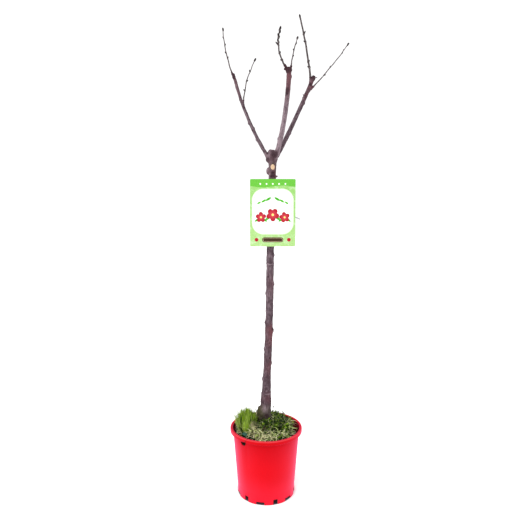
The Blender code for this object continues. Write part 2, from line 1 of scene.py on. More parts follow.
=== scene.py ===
"""The finished looks of a potted cherry tree in winter: tree, pot, soil, low green cover and label card.

Metres, +Z up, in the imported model's frame. The label faces -Y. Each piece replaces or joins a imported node.
"""

import random
from math import cos, exp, hypot, pi, radians, sin, sqrt, tau

import bmesh
import bpy
import numpy as np
from bpy.props import FloatProperty, FloatVectorProperty, IntProperty, PointerProperty
from mathutils import Matrix, Vector, noise
from numpy.linalg import norm


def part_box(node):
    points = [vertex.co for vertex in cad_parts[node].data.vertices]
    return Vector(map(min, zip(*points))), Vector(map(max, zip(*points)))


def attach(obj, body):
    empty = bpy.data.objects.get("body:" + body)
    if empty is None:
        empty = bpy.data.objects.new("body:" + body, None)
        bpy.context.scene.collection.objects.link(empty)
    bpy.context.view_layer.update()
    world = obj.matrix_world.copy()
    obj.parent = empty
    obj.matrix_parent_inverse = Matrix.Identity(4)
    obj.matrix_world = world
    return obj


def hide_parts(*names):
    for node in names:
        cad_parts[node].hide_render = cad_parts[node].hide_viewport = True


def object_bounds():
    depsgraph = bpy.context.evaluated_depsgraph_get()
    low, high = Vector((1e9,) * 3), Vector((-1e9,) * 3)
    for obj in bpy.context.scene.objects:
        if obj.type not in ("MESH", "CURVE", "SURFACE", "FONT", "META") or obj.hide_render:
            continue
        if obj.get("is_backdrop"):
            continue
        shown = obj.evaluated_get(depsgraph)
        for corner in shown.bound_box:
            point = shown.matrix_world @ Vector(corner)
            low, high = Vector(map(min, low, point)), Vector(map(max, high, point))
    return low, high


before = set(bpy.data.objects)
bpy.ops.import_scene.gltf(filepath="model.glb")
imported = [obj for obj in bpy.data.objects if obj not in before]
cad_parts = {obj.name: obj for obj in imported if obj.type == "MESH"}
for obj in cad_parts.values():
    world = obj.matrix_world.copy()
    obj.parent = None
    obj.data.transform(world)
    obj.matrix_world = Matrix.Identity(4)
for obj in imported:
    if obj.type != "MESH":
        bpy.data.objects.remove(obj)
PACKED_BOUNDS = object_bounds()

bl_info = {
    "name": "Potted Cherry Tree",
    "version": (1, 0, 0),
    "blender": (4, 5, 0),
    "location": "View3D > Sidebar > Potted Tree",
    "description": "Builds a bare young cherry tree in its nursery pot, piece by piece",
    "category": "Add Mesh",
}

BODY = "root"
GOLDEN_ANGLE = radians(137.5)  # the turn from one leaf, bud scale or clump to the next

# The measures from here to the label are the source's own. Pot.
POT_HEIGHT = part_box("pot")[1].z
LIP_RADIUS = 0.12
LIP_DROP = 0.012
MOUTH_RADIUS = 0.112
FOOT_RADIUS = 0.0952
FOOT_BAND = 0.034
WALL = 0.0022
FLOOR_RAISE = 0.004
CENTRE_FOOT_RADIUS = 0.022
DRAIN_CUTS = 12
DRAIN_PHASE = radians(-12)
DRAIN_SIZES = ((0.027, 0.0095), (0.015, 0.017))  # a wide and a tall cut, in turn
SLOT_ANGLE = radians(-42.9)
SLOT_HOLE = (0.0105, 0.0085)
SLOT_HEIGHT = 0.1985
SLOT_SLIT = ((0.017, 0.009), (0.0243, 0.023), (0.022, 0.023), (0.0145, 0.0105))

# Soil.
SOIL_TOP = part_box("soil")[1].z
SOIL_EDGE = 0.188
SOIL_PAD_RADIUS = 0.05
SOIL_SLOPE_RADIUS = 0.105
SOIL_REACH = 0.1062
SOIL_GAP = 0.0006  # between the soil and the pot's floor and wall

# Trunk.
FORK = Vector((0.0205, 0, 1.112))
FORK_RADIUS = 0.0195
TRUNK_FOOT = Vector((-0.004, 0, 0.1983))
TRUNK_RADIUS_LOW = 0.0134
TRUNK_RADIUS_HIGH = 0.012
TRUNK_SWAY = (0.0038, 0.57, 0.19)
TRUNK_SWAY_DEPTH = 0.0012
ROOT_FLARE = (0.0095, 0.016)
STEM_SWELL = (0.0052, 0.285, 0.065)
FORK_SWELL = (0.007, 1.116, 0.02)
GRAFT_CENTRE = Vector((-0.012, -0.002, 0.27))
GRAFT_RADII = (0.0195, 0.0205, 0.022)
BURL_CENTRE = Vector((0.008, 0, 1.0665))
BURL_RADII = (0.008, 0.009, 0.0125)
PRUNED_FOOT = Vector((0.02, -0.004, 1.071))
PRUNED_HEADING = (68, -90)
PRUNED_LENGTH = 0.0175

# Each bough: foot from the fork head, start and end heading, length and two radii.
BOUGHS = {
    "bough_left": ((-0.016, -0.002, -0.001), (32, 160), (17, 143), 0.306, 0.006, 0.0049),
    "bough_centre": ((0.012, -0.008, 0.003), (23.5, -52), (18, -87), 0.264, 0.0082, 0.0072),
    "bough_right": ((0.013, 0.008, 0.001), (29, 23), (24.5, 27), 0.305, 0.0076, 0.0064),
}
BOUGH_RINGS = 10

# Each shoot: its bough, where along it and on which side it leaves, how many of the bough's radii out its
# foot sits, its stem and knuckle, start and end heading, length, two radii, the shares where its buds stand,
# which of them are on spurs, and the side of the first bud.
SHOOTS = {
    "twigs_left_tip": (
        "bough_left", 0.985, 175, 0.6, 0.008, 0.004, (22, 158), (10.5, 110), 0.1625, 0.0023, 0.0015,
        (0.38, 0.49, 0.66, 0.82), (), 0,
    ),
    "twigs_left_side": (
        "bough_left", 0.655, -30, 0.85, 0.01, 0.0034, (13, -76), (32.5, -23), 0.1365, 0.0021, 0.0014,
        (0.28, 0.5, 0.72), (), 180,
    ),
    "twigs_centre_left": (
        "bough_centre", 0.975, 180, 0.75, 0.014, 0.0046, (44.5, -158), (22.5, -41), 0.118, 0.0026, 0.0019,
        (0.26, 0.43, 0.62, 0.8), (0.62,), 180,
    ),
    "twigs_centre_right": (
        "bough_centre", 0.985, 10, 0.7, 0.008, 0.0036, (14.5, 71), (23, 36), 0.1035, 0.002, 0.0014,
        (0.4, 0.6, 0.8), (), 0,
    ),
    "twigs_right_tip": (
        "bough_right", 0.955, 185, 0.9, 0.008, 0.0052, (10.5, -134), (17, -154), 0.198, 0.0034, 0.0025,
        (0.2, 0.29, 0.6, 0.72), (0.72,), 180,
    ),
    "twigs_right_side": (
        "bough_right", 0.835, 10, 1.15, 0.016, 0.0043, (45, 25), (37.5, 28), 0.229, 0.0022, 0.0014,
        (0.33, 0.5, 0.8, 0.87), (), -30,
    ),
}
SEED = 11

# Each mass of low cover: middle and half-sizes.
COVER = {
    "green_tuft": ((-0.057, -0.028), (0.0325, 0.036, 0.06)),
    "cover_front": ((0.019, -0.0695), (0.05, 0.0265, 0.021)),
    "cover_right": ((0.064, 0.003), (0.035, 0.044, 0.031)),
    "cover_back": ((-0.016, 0.067), (0.06, 0.03, 0.027)),
}
COVER_REACH = 0.104
RIM_OVERHANG = 0.006
TRUNK_CLEARANCE = 0.0175

# Label.
CARD_CENTRE = Vector((0.0204, -0.0214, 0.9317))
CARD_SIZE = (0.1455, 0.2152)
CARD_THICKNESS = 0.0008
CARD_BOW = 0.0022
STRAP_HEIGHT = 0.926
STRAP_WIDTH = 0.0048
STRAP_THICKNESS = 0.001
STRAP_CLEARANCE = 0.0007
STRAP_TAIL = 0.0925
STRAP_DROOP = 0.014
STRAP_HEAD = (0.0085, 0.0048, 0.0078)


def colour_of(name, default):
    about = f"Base colour of the {name.lower()}"
    return FloatVectorProperty(name=name, description=about, subtype="COLOR", min=0, max=1, default=default)


def length_of(name, default, description):
    return FloatProperty(name=name, description=description, unit="LENGTH", min=0, default=default)


def amount_of(name, default, description):
    return FloatProperty(name=name, description=description, min=0, default=default)


def count_of(name, default, description):
    return IntProperty(name=name, description=description, min=0, default=default)


def shaded(colour, share):
    return tuple(c * share for c in colour)


def mixed(first, second, share):
    return tuple(a + (b - a) * share for a, b in zip(first, second))


class PotLooks(bpy.types.PropertyGroup):
    """Sizes and colours of the nursery pot."""

    colour: colour_of("Plastic", (0.6, 0.0012, 0.003))
    # Painted light: the lighter, pinker red near the foot.
    lower: colour_of("Plastic near the foot", (0.69, 0.009, 0.022))
    # A painted highlight along the lip's rounded top edge.
    painted_lip_highlight: colour_of("Painted lip highlight", (0.6, 0.045, 0.052))
    # Painted shade on the inside of the pot's wall.
    stained: colour_of("Painted shade on the inner wall", (0.2, 0.006, 0.01))
    steps: IntProperty(name="Steps", description="Facets round the pot", min=24, max=384, default=192)
    edge: length_of("Rim rounding", 0.0011, "Radius of the lip's rounded edges")


class SoilLooks(bpy.types.PropertyGroup):
    """Relief and colours of the soil."""

    colour: colour_of("Moist soil", (0.02, 0.012, 0.009))
    crumb_colour: colour_of("Dry crumbs", (0.075, 0.048, 0.032))
    deep_soil_shade: colour_of("Painted shade low in the pot", (0.008, 0.004, 0.004))
    relief: length_of("Relief", 0.0045, "Height of the soil's lumps")
    crumbs: count_of("Crumbs", 260, "Loose crumbs on the soil")


class BarkLooks(bpy.types.PropertyGroup):
    """Relief and colours of the trunk and boughs."""

    dark: colour_of("Dark bark", (0.046, 0.027, 0.035))
    middle: colour_of("Bark", (0.098, 0.066, 0.08))
    pale: colour_of("Pale bark", (0.275, 0.206, 0.232))
    russet: colour_of("Russet bark", (0.125, 0.04, 0.048))
    foot: colour_of("Mossy foot", (0.046, 0.042, 0.017))
    # Also the colour of the painted shadow under the pruned stub.
    scar: colour_of("Scars and painted shadow", (0.03, 0.012, 0.017))
    pore: colour_of("Breathing pores", (0.23, 0.175, 0.175))
    wood: colour_of("Fresh cut wood", (0.58, 0.42, 0.27))
    ring: colour_of("Growth rings", (0.4, 0.235, 0.12))
    old_wood: colour_of("Old cut wood", (0.06, 0.038, 0.032))
    voxel: length_of("Voxel", 0.00135, "Size of the cells that the limbs are fused with")
    relief: length_of("Relief", 0.0011, "Depth of the bark's wrinkles")


class ShootLooks(bpy.types.PropertyGroup):
    """Sizes and colours of the shoots and their winter buds."""

    bark: colour_of("Young bark", (0.062, 0.045, 0.045))
    pale: colour_of("Pale young bark", (0.165, 0.135, 0.138))
    bud: colour_of("Bud scales", (0.013, 0.007, 0.007))
    bud_edge: colour_of("Bud scale edges", (0.04, 0.021, 0.017))
    ring: length_of("Ring spacing", 0.0014, "Distance between the rings of a shoot's mesh")


class CoverLooks(bpy.types.PropertyGroup):
    """Counts and colours of the low green cover."""

    blades: count_of("Tuft blades", 2400, "Fine blades in the bright tuft")
    fringe: count_of("Tuft fringe", 260, "Thin pale blades round the tuft")
    strands: count_of("Strands", 2080, "Dry strands over the cover")
    leaves: count_of("Leaves", 2200, "Small leaves in the cover")
    fresh: colour_of("Fresh green", (0.3, 0.5, 0.018))
    dark: colour_of("Dark green", (0.021, 0.047, 0.011))
    straw: colour_of("Dry straw", (0.8, 0.77, 0.45))
    brown: colour_of("Withered brown", (0.13, 0.075, 0.035))
    blue: colour_of("Blue-green leaf", (0.022, 0.078, 0.056))


class LabelLooks(bpy.types.PropertyGroup):
    """Sizes and colours of the label card and its strap."""

    corner: length_of("Corner radius", 0.003, "Rounding of the card's corners")
    band: colour_of("Band green", (0.125, 0.45, 0.044))
    field: colour_of("Field green", (0.35, 0.57, 0.2))
    petal: colour_of("Petal red", (0.38, 0.002, 0.018))
    leaf: colour_of("Leaf green", (0.06, 0.36, 0.018))
    bar: colour_of("Bar brown", (0.045, 0.019, 0.007))
    strap: colour_of("Strap", (0.48, 0.485, 0.5))


class StageLooks(bpy.types.PropertyGroup):
    """The floor, the light and the camera."""

    floor: colour_of("Floor", (0.94, 0.94, 0.94))
    camera_place: FloatVectorProperty(
        name="Camera", description="Where the camera stands", subtype="TRANSLATION", unit="LENGTH",
        default=(-0.0205, -1.5, 0.889),
    )
    camera_pitch: FloatProperty(
        name="Pitch", description="How far the camera looks down", subtype="ANGLE", default=radians(4.2),
    )
    lens: FloatProperty(name="Lens", description="Focal length in millimetres", min=1, default=31.8)
    backdrop: amount_of("Backdrop", 1.1, "How bright the backdrop looks")
    even: amount_of("Even light", 0.55, "Strength of the light all round")
    glow: amount_of("Floor glow", 0.28, "Light that the floor gives off")
    sun: amount_of("Soft sun", 2.55, "Strength of the broad light from above")


def arithmetic(operation, turned=False):
    """A method that adds a Math node to two values, or to them in turned order."""
    def method(self, other=0):
        ends = (other, self) if turned else (self, other)
        return self.finish.node("Math", {"operation": operation}, ends)
    return method


class Wire:
    """An output socket of a finish. Arithmetic on wires and numbers adds Math nodes."""

    def __init__(self, finish, socket):
        self.finish = finish
        self.socket = socket

    __add__ = arithmetic("ADD")
    __radd__ = arithmetic("ADD", turned=True)
    __sub__ = arithmetic("SUBTRACT")
    __rsub__ = arithmetic("SUBTRACT", turned=True)
    __mul__ = arithmetic("MULTIPLY")
    __rmul__ = arithmetic("MULTIPLY", turned=True)
    __pow__ = arithmetic("POWER")
    __abs__ = arithmetic("ABSOLUTE")
    __mod__ = arithmetic("FLOORED_MODULO")
    lower = arithmetic("MINIMUM")
    higher = arithmetic("MAXIMUM")
    angle = arithmetic("ARCTAN2")
    sine = arithmetic("SINE")
    cosine = arithmetic("COSINE")


class Finish:
    """A material with its shader's constants, and one method that adds any other node."""

    def __init__(self, name, colour, roughness, gloss=0.5, constants=()):
        self.material = bpy.data.materials.new(name)
        self.material.use_nodes = True
        self.material.diffuse_color = (*colour, 1)
        self.tree = self.material.node_tree
        self.shader = self.tree.nodes["Principled BSDF"]
        plain = {"Base Color": (*colour, 1), "Roughness": roughness, "Specular IOR Level": gloss}
        for socket, value in (plain | dict(constants)).items():
            self.shader.inputs[socket].default_value = value

    def node(self, kind, settings=(), inputs=(), output=0):
        """Adds a node: its settings first, then its sockets' values or links."""
        made = self.tree.nodes.new("ShaderNode" + kind)
        for name, value in dict(settings).items():
            setattr(made, name, value)
        for key, value in inputs.items() if isinstance(inputs, dict) else enumerate(inputs):
            if isinstance(value, Wire):
                self.tree.links.new(value.socket, made.inputs[key])
            else:
                made.inputs[key].default_value = value
        return Wire(self, made.outputs[output])

    def place(self):
        return self.node("TexCoord", output="Object")

    def attribute(self, name, output="Fac"):
        return self.node("Attribute", {"attribute_name": name}, output=output)

    def vector(self, operation, *ends, output="Vector"):
        return self.node("VectorMath", {"operation": operation}, ends, output)

    def part(self, vector, axis):
        return self.node("SeparateXYZ", {}, (vector,), output=axis)

    def length(self, vector):
        return self.vector("LENGTH", vector, output="Value")

    def pattern(self, kind, vector, scale, **inputs):
        """A texture at one scale, or at three that stretch it along the axes."""
        if isinstance(scale, tuple):
            vector, scale = self.vector("MULTIPLY", vector, scale), 1
        return self.node(kind, {}, {"Vector": vector, "Scale": scale, **inputs})

    def cells(self, vector, scale):
        return self.pattern("TexVoronoi", vector, scale)

    def noise(self, vector, scale, detail=2, roughness=0.5, distortion=0):
        kept = {"Detail": detail, "Roughness": roughness, "Distortion": distortion}
        return self.pattern("TexNoise", vector, scale, **kept)

    def ramp(self, value, stops):
        """A colour from stops of a place and a colour each."""
        made = self.node("ValToRGB", {}, (value,))
        elements = made.socket.node.color_ramp.elements
        while len(elements) < len(stops):
            elements.new(0.5)
        for element, (place, colour) in zip(elements, stops):
            element.position = place
            element.color = (*colour, 1)
        return made

    def rise(self, value, low, high):
        """0 below low and 1 above high, with a soft step between them."""
        return self.node("MapRange", {"interpolation_type": "SMOOTHSTEP"}, (value, low, high))

    def blend(self, factor, first, second):
        """A colour that goes from the first to the second with the factor."""
        first, second = (end if isinstance(end, Wire) else (*end, 1) for end in (first, second))
        return self.node("Mix", {"data_type": "RGBA"}, {0: factor, 6: first, 7: second}, output=2)

    def bump(self, height, distance, strength=1):
        return self.node("Bump", {}, {"Height": height, "Distance": distance, "Strength": strength})

    def wear(self, socket, wire):
        self.tree.links.new(wire.socket, self.shader.inputs[socket])

    def dress(self, colour, relief, roughness=None):
        """Links the colour, the relief and a roughness that varies, and gives the finished material."""
        self.wear("Base Color", colour)
        self.wear("Normal", relief)
        if roughness:
            self.wear("Roughness", roughness)
        return self.material


def pick(piece, others=()):
    """Leaves only these selected, with the piece active."""
    if bpy.context.object and bpy.context.object.mode != "OBJECT":
        leave_edit()
    bpy.ops.object.select_all(action="DESELECT")
    for other in (piece, *others):
        other.select_set(True)
    bpy.context.view_layer.objects.active = piece


def named(name):
    """The object that was just added, renamed."""
    piece = bpy.context.object
    piece.name = name
    piece.data.name = name
    return piece


def edit(piece):
    """Opens a piece in edit mode with all of it selected."""
    pick(piece)
    bpy.ops.object.mode_set(mode="EDIT")
    bpy.ops.mesh.select_all(action="SELECT")


def select_faces(piece, chosen):
    """In edit mode, selects only the faces whose normal is chosen."""
    for face in bmesh.from_edit_mesh(piece.data).faces:
        face.select = chosen(face.normal)
    bmesh.update_edit_mesh(piece.data)


def leave_edit():
    bpy.ops.object.mode_set(mode="OBJECT")


def settle(piece):
    """Puts a piece's place, turn and scale into its mesh."""
    pick(piece)
    bpy.ops.object.transform_apply(location=True, rotation=True, scale=True)
    return piece


def add_modifier(piece, kind, **settings):
    """Adds a modifier and applies it."""
    pick(piece)
    made = piece.modifiers.new(kind.lower(), kind)
    for name, value in settings.items():
        setattr(made, name, value)
    bpy.ops.object.modifier_apply(modifier=made.name)
    return piece


def bevel(piece, width, segments, angle=30):
    """Rounds the edges that are sharper than an angle in degrees."""
    limit = {"limit_method": "ANGLE", "angle_limit": radians(angle)}
    return add_modifier(piece, "BEVEL", width=width, segments=segments, **limit)


def weld(piece, gap):
    """Merges points closer than the gap, and turns every face outwards."""
    edit(piece)
    bpy.ops.mesh.remove_doubles(threshold=gap)
    bpy.ops.mesh.normals_make_consistent(inside=False)
    leave_edit()
    return piece


def fuse(name, pieces):
    """Joins meshes into one object, each still a shell of its own."""
    pick(pieces[0], pieces[1:])
    bpy.ops.object.join()
    return named(name)


def hand_in(piece, finishes, slot, *nodes):
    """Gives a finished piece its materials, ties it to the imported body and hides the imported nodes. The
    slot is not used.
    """
    settle(piece)
    piece.data.materials.clear()
    for finish in finishes:
        piece.data.materials.append(finish)
    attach(piece, BODY)
    if nodes:
        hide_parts(*nodes)


def smooth(piece, angle=180):
    """Shades a piece smooth where its faces meet at less than an angle in degrees."""
    pick(piece)
    if angle == 180:
        bpy.ops.object.shade_smooth()
    else:
        bpy.ops.object.shade_smooth_by_angle(angle=radians(angle))


def add_object(name, data):
    made = bpy.data.objects.new(name, data)
    bpy.context.scene.collection.objects.link(made)
    return made


def mesh_piece(name, points, faces, edges=()):
    """A new object from lists of points, edges and faces."""
    mesh = bpy.data.meshes.new(name)
    mesh.from_pydata(points, edges, faces)
    return add_object(name, mesh)


def line_piece(name, points):
    """A new object from points that are joined one by one."""
    return mesh_piece(name, points, (), [(i, i + 1) for i in range(len(points) - 1)])


def discard(piece):
    bpy.data.objects.remove(piece, do_unlink=True)


def shifted(faces, start):
    """The faces of a pattern that begins at point start."""
    return [tuple(start + i for i in face) for face in faces]


def ring_faces(low, high, sides):
    """Faces between two rings of points, each known by its first point."""
    return [(low + i, low + (i + 1) % sides, high + (i + 1) % sides, high + i) for i in range(sides)]


def tip_faces(ring, tip, sides):
    """Triangles from a ring of points to a tip."""
    return [(ring + i, ring + (i + 1) % sides, tip) for i in range(sides)]


def arc(centre, radius, start, end, steps):
    """Points on an arc of a profile, from one angle to another in degrees."""
    turn = [radians(start + (end - start) * i / steps) for i in range(steps + 1)]
    return [(centre[0] + radius * cos(a), centre[1] + radius * sin(a)) for a in turn]


def spun(name, profile, steps):
    """A closed shell: a profile in the XZ plane that runs from axis to axis, spun round Z."""
    piece = line_piece(name, [(r, 0, z) for r, z in profile])
    edit(piece)
    bpy.ops.mesh.spin(steps=steps, angle=tau, center=(0, 0, 0), axis=(0, 0, 1))
    leave_edit()
    return weld(piece, 0.00001)


def posed(centre, turn, sizes):
    """The matrix that sizes a shape, turns it and moves it to its centre."""
    return Matrix.Translation(centre) @ turn @ Matrix.Diagonal((*sizes, 1))


def ball(centre, radii, turn=None, detail=3):
    """A lump for fusing: an icosphere with three half-sizes."""
    bpy.ops.mesh.primitive_ico_sphere_add(subdivisions=detail, radius=1)
    lump = named("lump")
    lump.matrix_world = posed(centre, turn or Matrix.Identity(4), radii)
    return settle(lump)


def ball_shape(centre, radii, detail):
    """The points and faces of a ball."""
    pattern = ball(centre, radii, detail=detail)
    points = [v.co.copy() for v in pattern.data.vertices]
    faces = [tuple(face.vertices) for face in pattern.data.polygons]
    discard(pattern)
    return points, faces


def aim(direction):
    """The turn that lays +Z along a direction."""
    return direction.to_track_quat("Z", "Y").to_matrix().to_4x4()


def block(name, size, place, turn=0):
    """A box with its three sizes and middle, turned about Z."""
    bpy.ops.mesh.primitive_cube_add(size=1, location=place, rotation=(0, 0, turn))
    made = named(name)
    made.scale = size
    return settle(made)


def stub(foot, direction, length, radius, tip_radius, sides=24, tall=1):
    """A tapering stub for fusing, with an upright oval section if tall."""
    bpy.ops.mesh.primitive_cone_add(vertices=sides, radius1=radius, radius2=tip_radius, depth=length)
    made = named("stub")
    made.matrix_world = posed(foot, aim(direction), (1, tall, 1)) @ Matrix.Translation((0, 0, length / 2))
    return settle(made)


def heading(lean, azimuth):
    """A unit vector that leans from +Z towards an azimuth counted from +X, in degrees."""
    tilt, turn = radians(lean), radians(azimuth)
    return Vector((sin(tilt) * cos(turn), sin(tilt) * sin(turn), cos(tilt)))


def flat(turn, rise=0):
    """A vector that points along a turn about Z, and rises by so much."""
    return Vector((cos(turn), sin(turn), rise))


def any_turn(chance):
    return chance.uniform(0, tau)


def in_disc(chance, reach):
    """How far out and at which turn a random place in a disc is."""
    return reach * sqrt(chance.random()), any_turn(chance)


def sunflower(order, count, shift=0.5):
    """One of many places that fill a disc evenly, as the seeds of a sunflower do."""
    spread, turn = sqrt((order + shift) / count), order * GOLDEN_ANGLE
    return spread * cos(turn), spread * sin(turn)


class Limb:
    """A tapering limb whose heading swings evenly from its foot to its tip."""

    def __init__(self, foot, start, end, length, radius, tip_radius, rings):
        self.radius, self.tip_radius, self.rings, self.length = radius, tip_radius, rings, length
        first, last = heading(*start), heading(*end)
        self.points = [foot.copy()]
        for i in range(rings):
            middle = (i + 0.5) / rings
            self.points.append(self.points[-1] + first.lerp(last, middle).normalized() * (length / rings))

    def at(self, t):
        i = min(int(t * self.rings), self.rings - 1)
        return self.points[i].lerp(self.points[i + 1], t * self.rings - i)

    def along(self, t):
        i = min(int(t * self.rings), self.rings - 1)
        return (self.points[i + 1] - self.points[i]).normalized()

    def thickness(self, t):
        return self.radius + (self.tip_radius - self.radius) * t

    def side(self, t, angle):
        """The way out of the limb: 0 is to the right as the label is faced, 180 to the left."""
        along = self.along(t)
        right = along.cross(Vector((0, -1, 0))).normalized()
        back = along.cross(right)
        return right * cos(radians(angle)) + back * sin(radians(angle))


def gauss(value, centre, spread):
    return exp(-(((value - centre) / spread) ** 2))


def trunk_centre(z):
    """The trunk's centre line at a height: an even lean with one slow sway."""
    share = (z - TRUNK_FOOT.z) / (FORK.z - TRUNK_FOOT.z)
    centre = TRUNK_FOOT.lerp(FORK, share)
    centre.x += TRUNK_SWAY[0] * gauss(z, *TRUNK_SWAY[1:])
    centre.y += TRUNK_SWAY_DEPTH * sin(tau * share)
    centre.z = z
    return centre


def trunk_radius(z):
    share = (z - TRUNK_FOOT.z) / (FORK.z - TRUNK_FOOT.z)
    radius = TRUNK_RADIUS_LOW + (TRUNK_RADIUS_HIGH - TRUNK_RADIUS_LOW) * share
    radius += ROOT_FLARE[0] * exp(-(z - TRUNK_FOOT.z) / ROOT_FLARE[1])
    return radius + sum(depth * gauss(z, *where) for depth, *where in (STEM_SWELL, FORK_SWELL))


def bough_limbs():
    return {name: Limb(FORK + Vector(foot), *sizes, BOUGH_RINGS) for name, (foot, *sizes) in BOUGHS.items()}


def shoot_limb(boughs, shoot):
    """A shoot's limb and the middle of the knuckle that it leaves."""
    parent, t, side, reach, stem, knuckle, start, end, length, radius, tip_radius = shoot[:11]
    bough = boughs[parent]
    foot = bough.at(t) + heading(90, side) * bough.thickness(t) * reach
    limb = Limb(foot, start, end, length, radius, tip_radius, max(5, round(length / 0.02)))
    return limb, limb.at(stem / length)


def tube(name, points, radii, level):
    """A filled tube through points, made from a bevelled curve."""
    curve = bpy.data.curves.new(name, "CURVE")
    curve.dimensions = "3D"
    curve.bevel_depth = 1
    curve.bevel_resolution = level
    curve.use_fill_caps = True
    spline = curve.splines.new("POLY")
    spline.points.add(len(points) - 1)
    for slot, point, radius in zip(spline.points, points, radii):
        slot.co = (*point, 1)
        slot.radius = radius
    pick(add_object(name, curve))
    bpy.ops.object.convert(target="MESH")
    return weld(named(name), 0.000001)


# The pot

def pot_profile(edge):
    """The pot's section from its inner floor over the rolled lip and down to its underside."""
    lip, mouth, foot, centre, top = LIP_RADIUS, MOUTH_RADIUS, FOOT_RADIUS, CENTRE_FOOT_RADIUS, POT_HEIGHT
    lip_inner, lip_bottom, wall, floor = lip - WALL, top - LIP_DROP, foot - WALL, FLOOR_RAISE + WALL
    return [
        (0, floor), (0.03, floor), (wall - 0.004, floor),
        *arc((wall - 0.002, floor + 0.002), 0.002, -90, 0, 4), (wall, FOOT_BAND),
        (mouth - WALL - 0.0015, top - 0.012), *arc((mouth + 0.0015, top - 0.0022), 0.0022, 175, 90, 5),
        (lip - 0.0045, top), *arc((lip - 0.0022, top - 0.0022), 0.0022, 90, 0, 6),
        *arc((lip - edge, lip_bottom + edge), edge, 0, -90, 4),
        *arc((lip_inner + edge * 0.6, lip_bottom + edge * 0.6), edge * 0.6, -90, -180, 3),
        (lip_inner, top - WALL - 0.0024), *arc((lip_inner - 0.0014, top - WALL - 0.0024), 0.0014, 0, 90, 3),
        *arc((mouth + 0.0026, top - WALL - 0.003), 0.002, 90, 178, 4), (mouth - 0.0018, top - 0.014),
        (foot + 0.0008, FOOT_BAND + 0.002), (foot, FOOT_BAND - 0.001),
        *arc((foot - 0.0006, 0.0006), 0.0006, 0, -90, 3),
        *arc((wall + 0.0006, 0.0006), 0.0006, -90, -180, 3), (wall, FLOOR_RAISE - 0.001),
        (wall - 0.001, FLOOR_RAISE), (centre + 0.001, FLOOR_RAISE), (centre, FLOOR_RAISE - 0.001),
        (centre, 0.0006), (centre - 0.0006, 0), (0, 0),
    ]


def wall_cutter(angle, width, height):
    """A rounded block across the pot's foot at an angle from the front, counted towards +X."""
    low, through, rounding = -0.006, 0.024, 0.0016
    radius = FOOT_RADIUS - 0.004
    middle = (radius * sin(angle), -radius * cos(angle), (height + low) / 2)
    return bevel(block("cut", (width, through, height - low), middle, angle), rounding, 3)


def slot_cutter():
    """The label slot: a drop-shaped hole whose point runs up through the lip as a slit."""
    turns = [radians(80 + i * 10) for i in range(29)]
    outline = [(cos(turn) * SLOT_HOLE[0], sin(turn) * SLOT_HOLE[1]) for turn in turns]
    outline += SLOT_SLIT
    front, back = -0.128, -0.098
    count = len(outline)
    points = [(s, y, SLOT_HEIGHT + z) for y in (front, back) for s, z in outline]
    ends = [tuple(reversed(range(count))), tuple(range(count, 2 * count))]
    cutter = weld(mesh_piece("slot", points, ring_faces(0, count, count) + ends), 0.000001)
    cutter.rotation_euler = (0, 0, SLOT_ANGLE)
    return settle(cutter)


def pot_finish(looks):
    """Satin red plastic with a painted highlight along the lip's edge, painted light that makes it lighter and
    pinker towards the foot, painted shade that makes it darker towards the top, and a pink sheen at its sides.
    """
    bloom = {"Sheen Weight": 0.9, "Sheen Roughness": 0.42, "Sheen Tint": (1, 0.26, 0.48, 1)}
    red = Finish("red_plastic", looks.colour, 0.36, 0, bloom)
    place = red.place()
    height = red.part(place, "Z")
    reach = red.length(red.vector("MULTIPLY", place, (1, 1, 0)))
    flow = red.noise(place, (22, 22, 6), 2)
    scuff = red.noise(place, (260, 260, 60), 3, 0.6)
    scuffs = red.rise(scuff, 0.6, 0.74)
    # Painted light makes the red lighter and pinker towards the foot; painted shade makes it darker towards
    # the top.
    base = red.blend(red.rise(height + flow * 0.03, 0.12, 0.03), looks.colour, looks.lower)
    base = red.blend(red.rise(height + flow * 0.04, 0.13, 0.235), base, shaded(looks.colour, 0.84))
    # A painted highlight along the lip's rounded top edge, broken up by the flow noise.
    edge = red.rise(reach, LIP_RADIUS - 0.0034, LIP_RADIUS - 0.0012)
    edge = edge * red.rise(height, POT_HEIGHT - 0.0036, POT_HEIGHT - 0.0012)
    colour = red.blend(edge * (0.35 + flow * 0.9), base, looks.painted_lip_highlight)
    relief = red.bump(red.noise(place, 900) * 0.35 + flow, 0.00022, 0.5)
    return red.dress(colour, relief, 0.32 + flow * 0.08 + scuffs * 0.12)


def inside_finish(looks):
    """The inner wall: the same red, dulled and darkened by painted shade, with cloudy patches."""
    stain_and_shade = Finish("stained_plastic", looks.stained, 0.6, 0.05)
    cloud = stain_and_shade.noise(stain_and_shade.place(), 60, 3, 0.6)
    patches = stain_and_shade.rise(cloud, 0.35, 0.65)
    colour = stain_and_shade.blend(patches, looks.stained, shaded(looks.stained, 0.35))
    return stain_and_shade.dress(colour, stain_and_shade.bump(cloud, 0.0004, 0.5))


def build_pot(looks):
    pot = spun("nursery_pot", pot_profile(looks.edge), looks.steps)
    cuts = [wall_cutter(DRAIN_PHASE + i * tau / DRAIN_CUTS, *DRAIN_SIZES[i % 2]) for i in range(DRAIN_CUTS)]
    cutter = fuse("pot_cuts", [*cuts, slot_cutter()])
    add_modifier(pot, "BOOLEAN", operation="DIFFERENCE", object=cutter, solver="EXACT")
    discard(cutter)
    smooth(pot, 35)
    hand_in(pot, [pot_finish(looks), inside_finish(looks)], "red_plastic", "pot")
    # The inner wall's faces take the second material, with its painted shade.
    for face in pot.data.polygons:
        out = Vector((face.center.x, face.center.y, 0))
        inner = out.length < MOUTH_RADIUS and face.normal.dot(out.normalized()) < -0.7
        face.material_index = int(inner and FOOT_BAND < face.center.z < POT_HEIGHT - 0.006)


# The soil

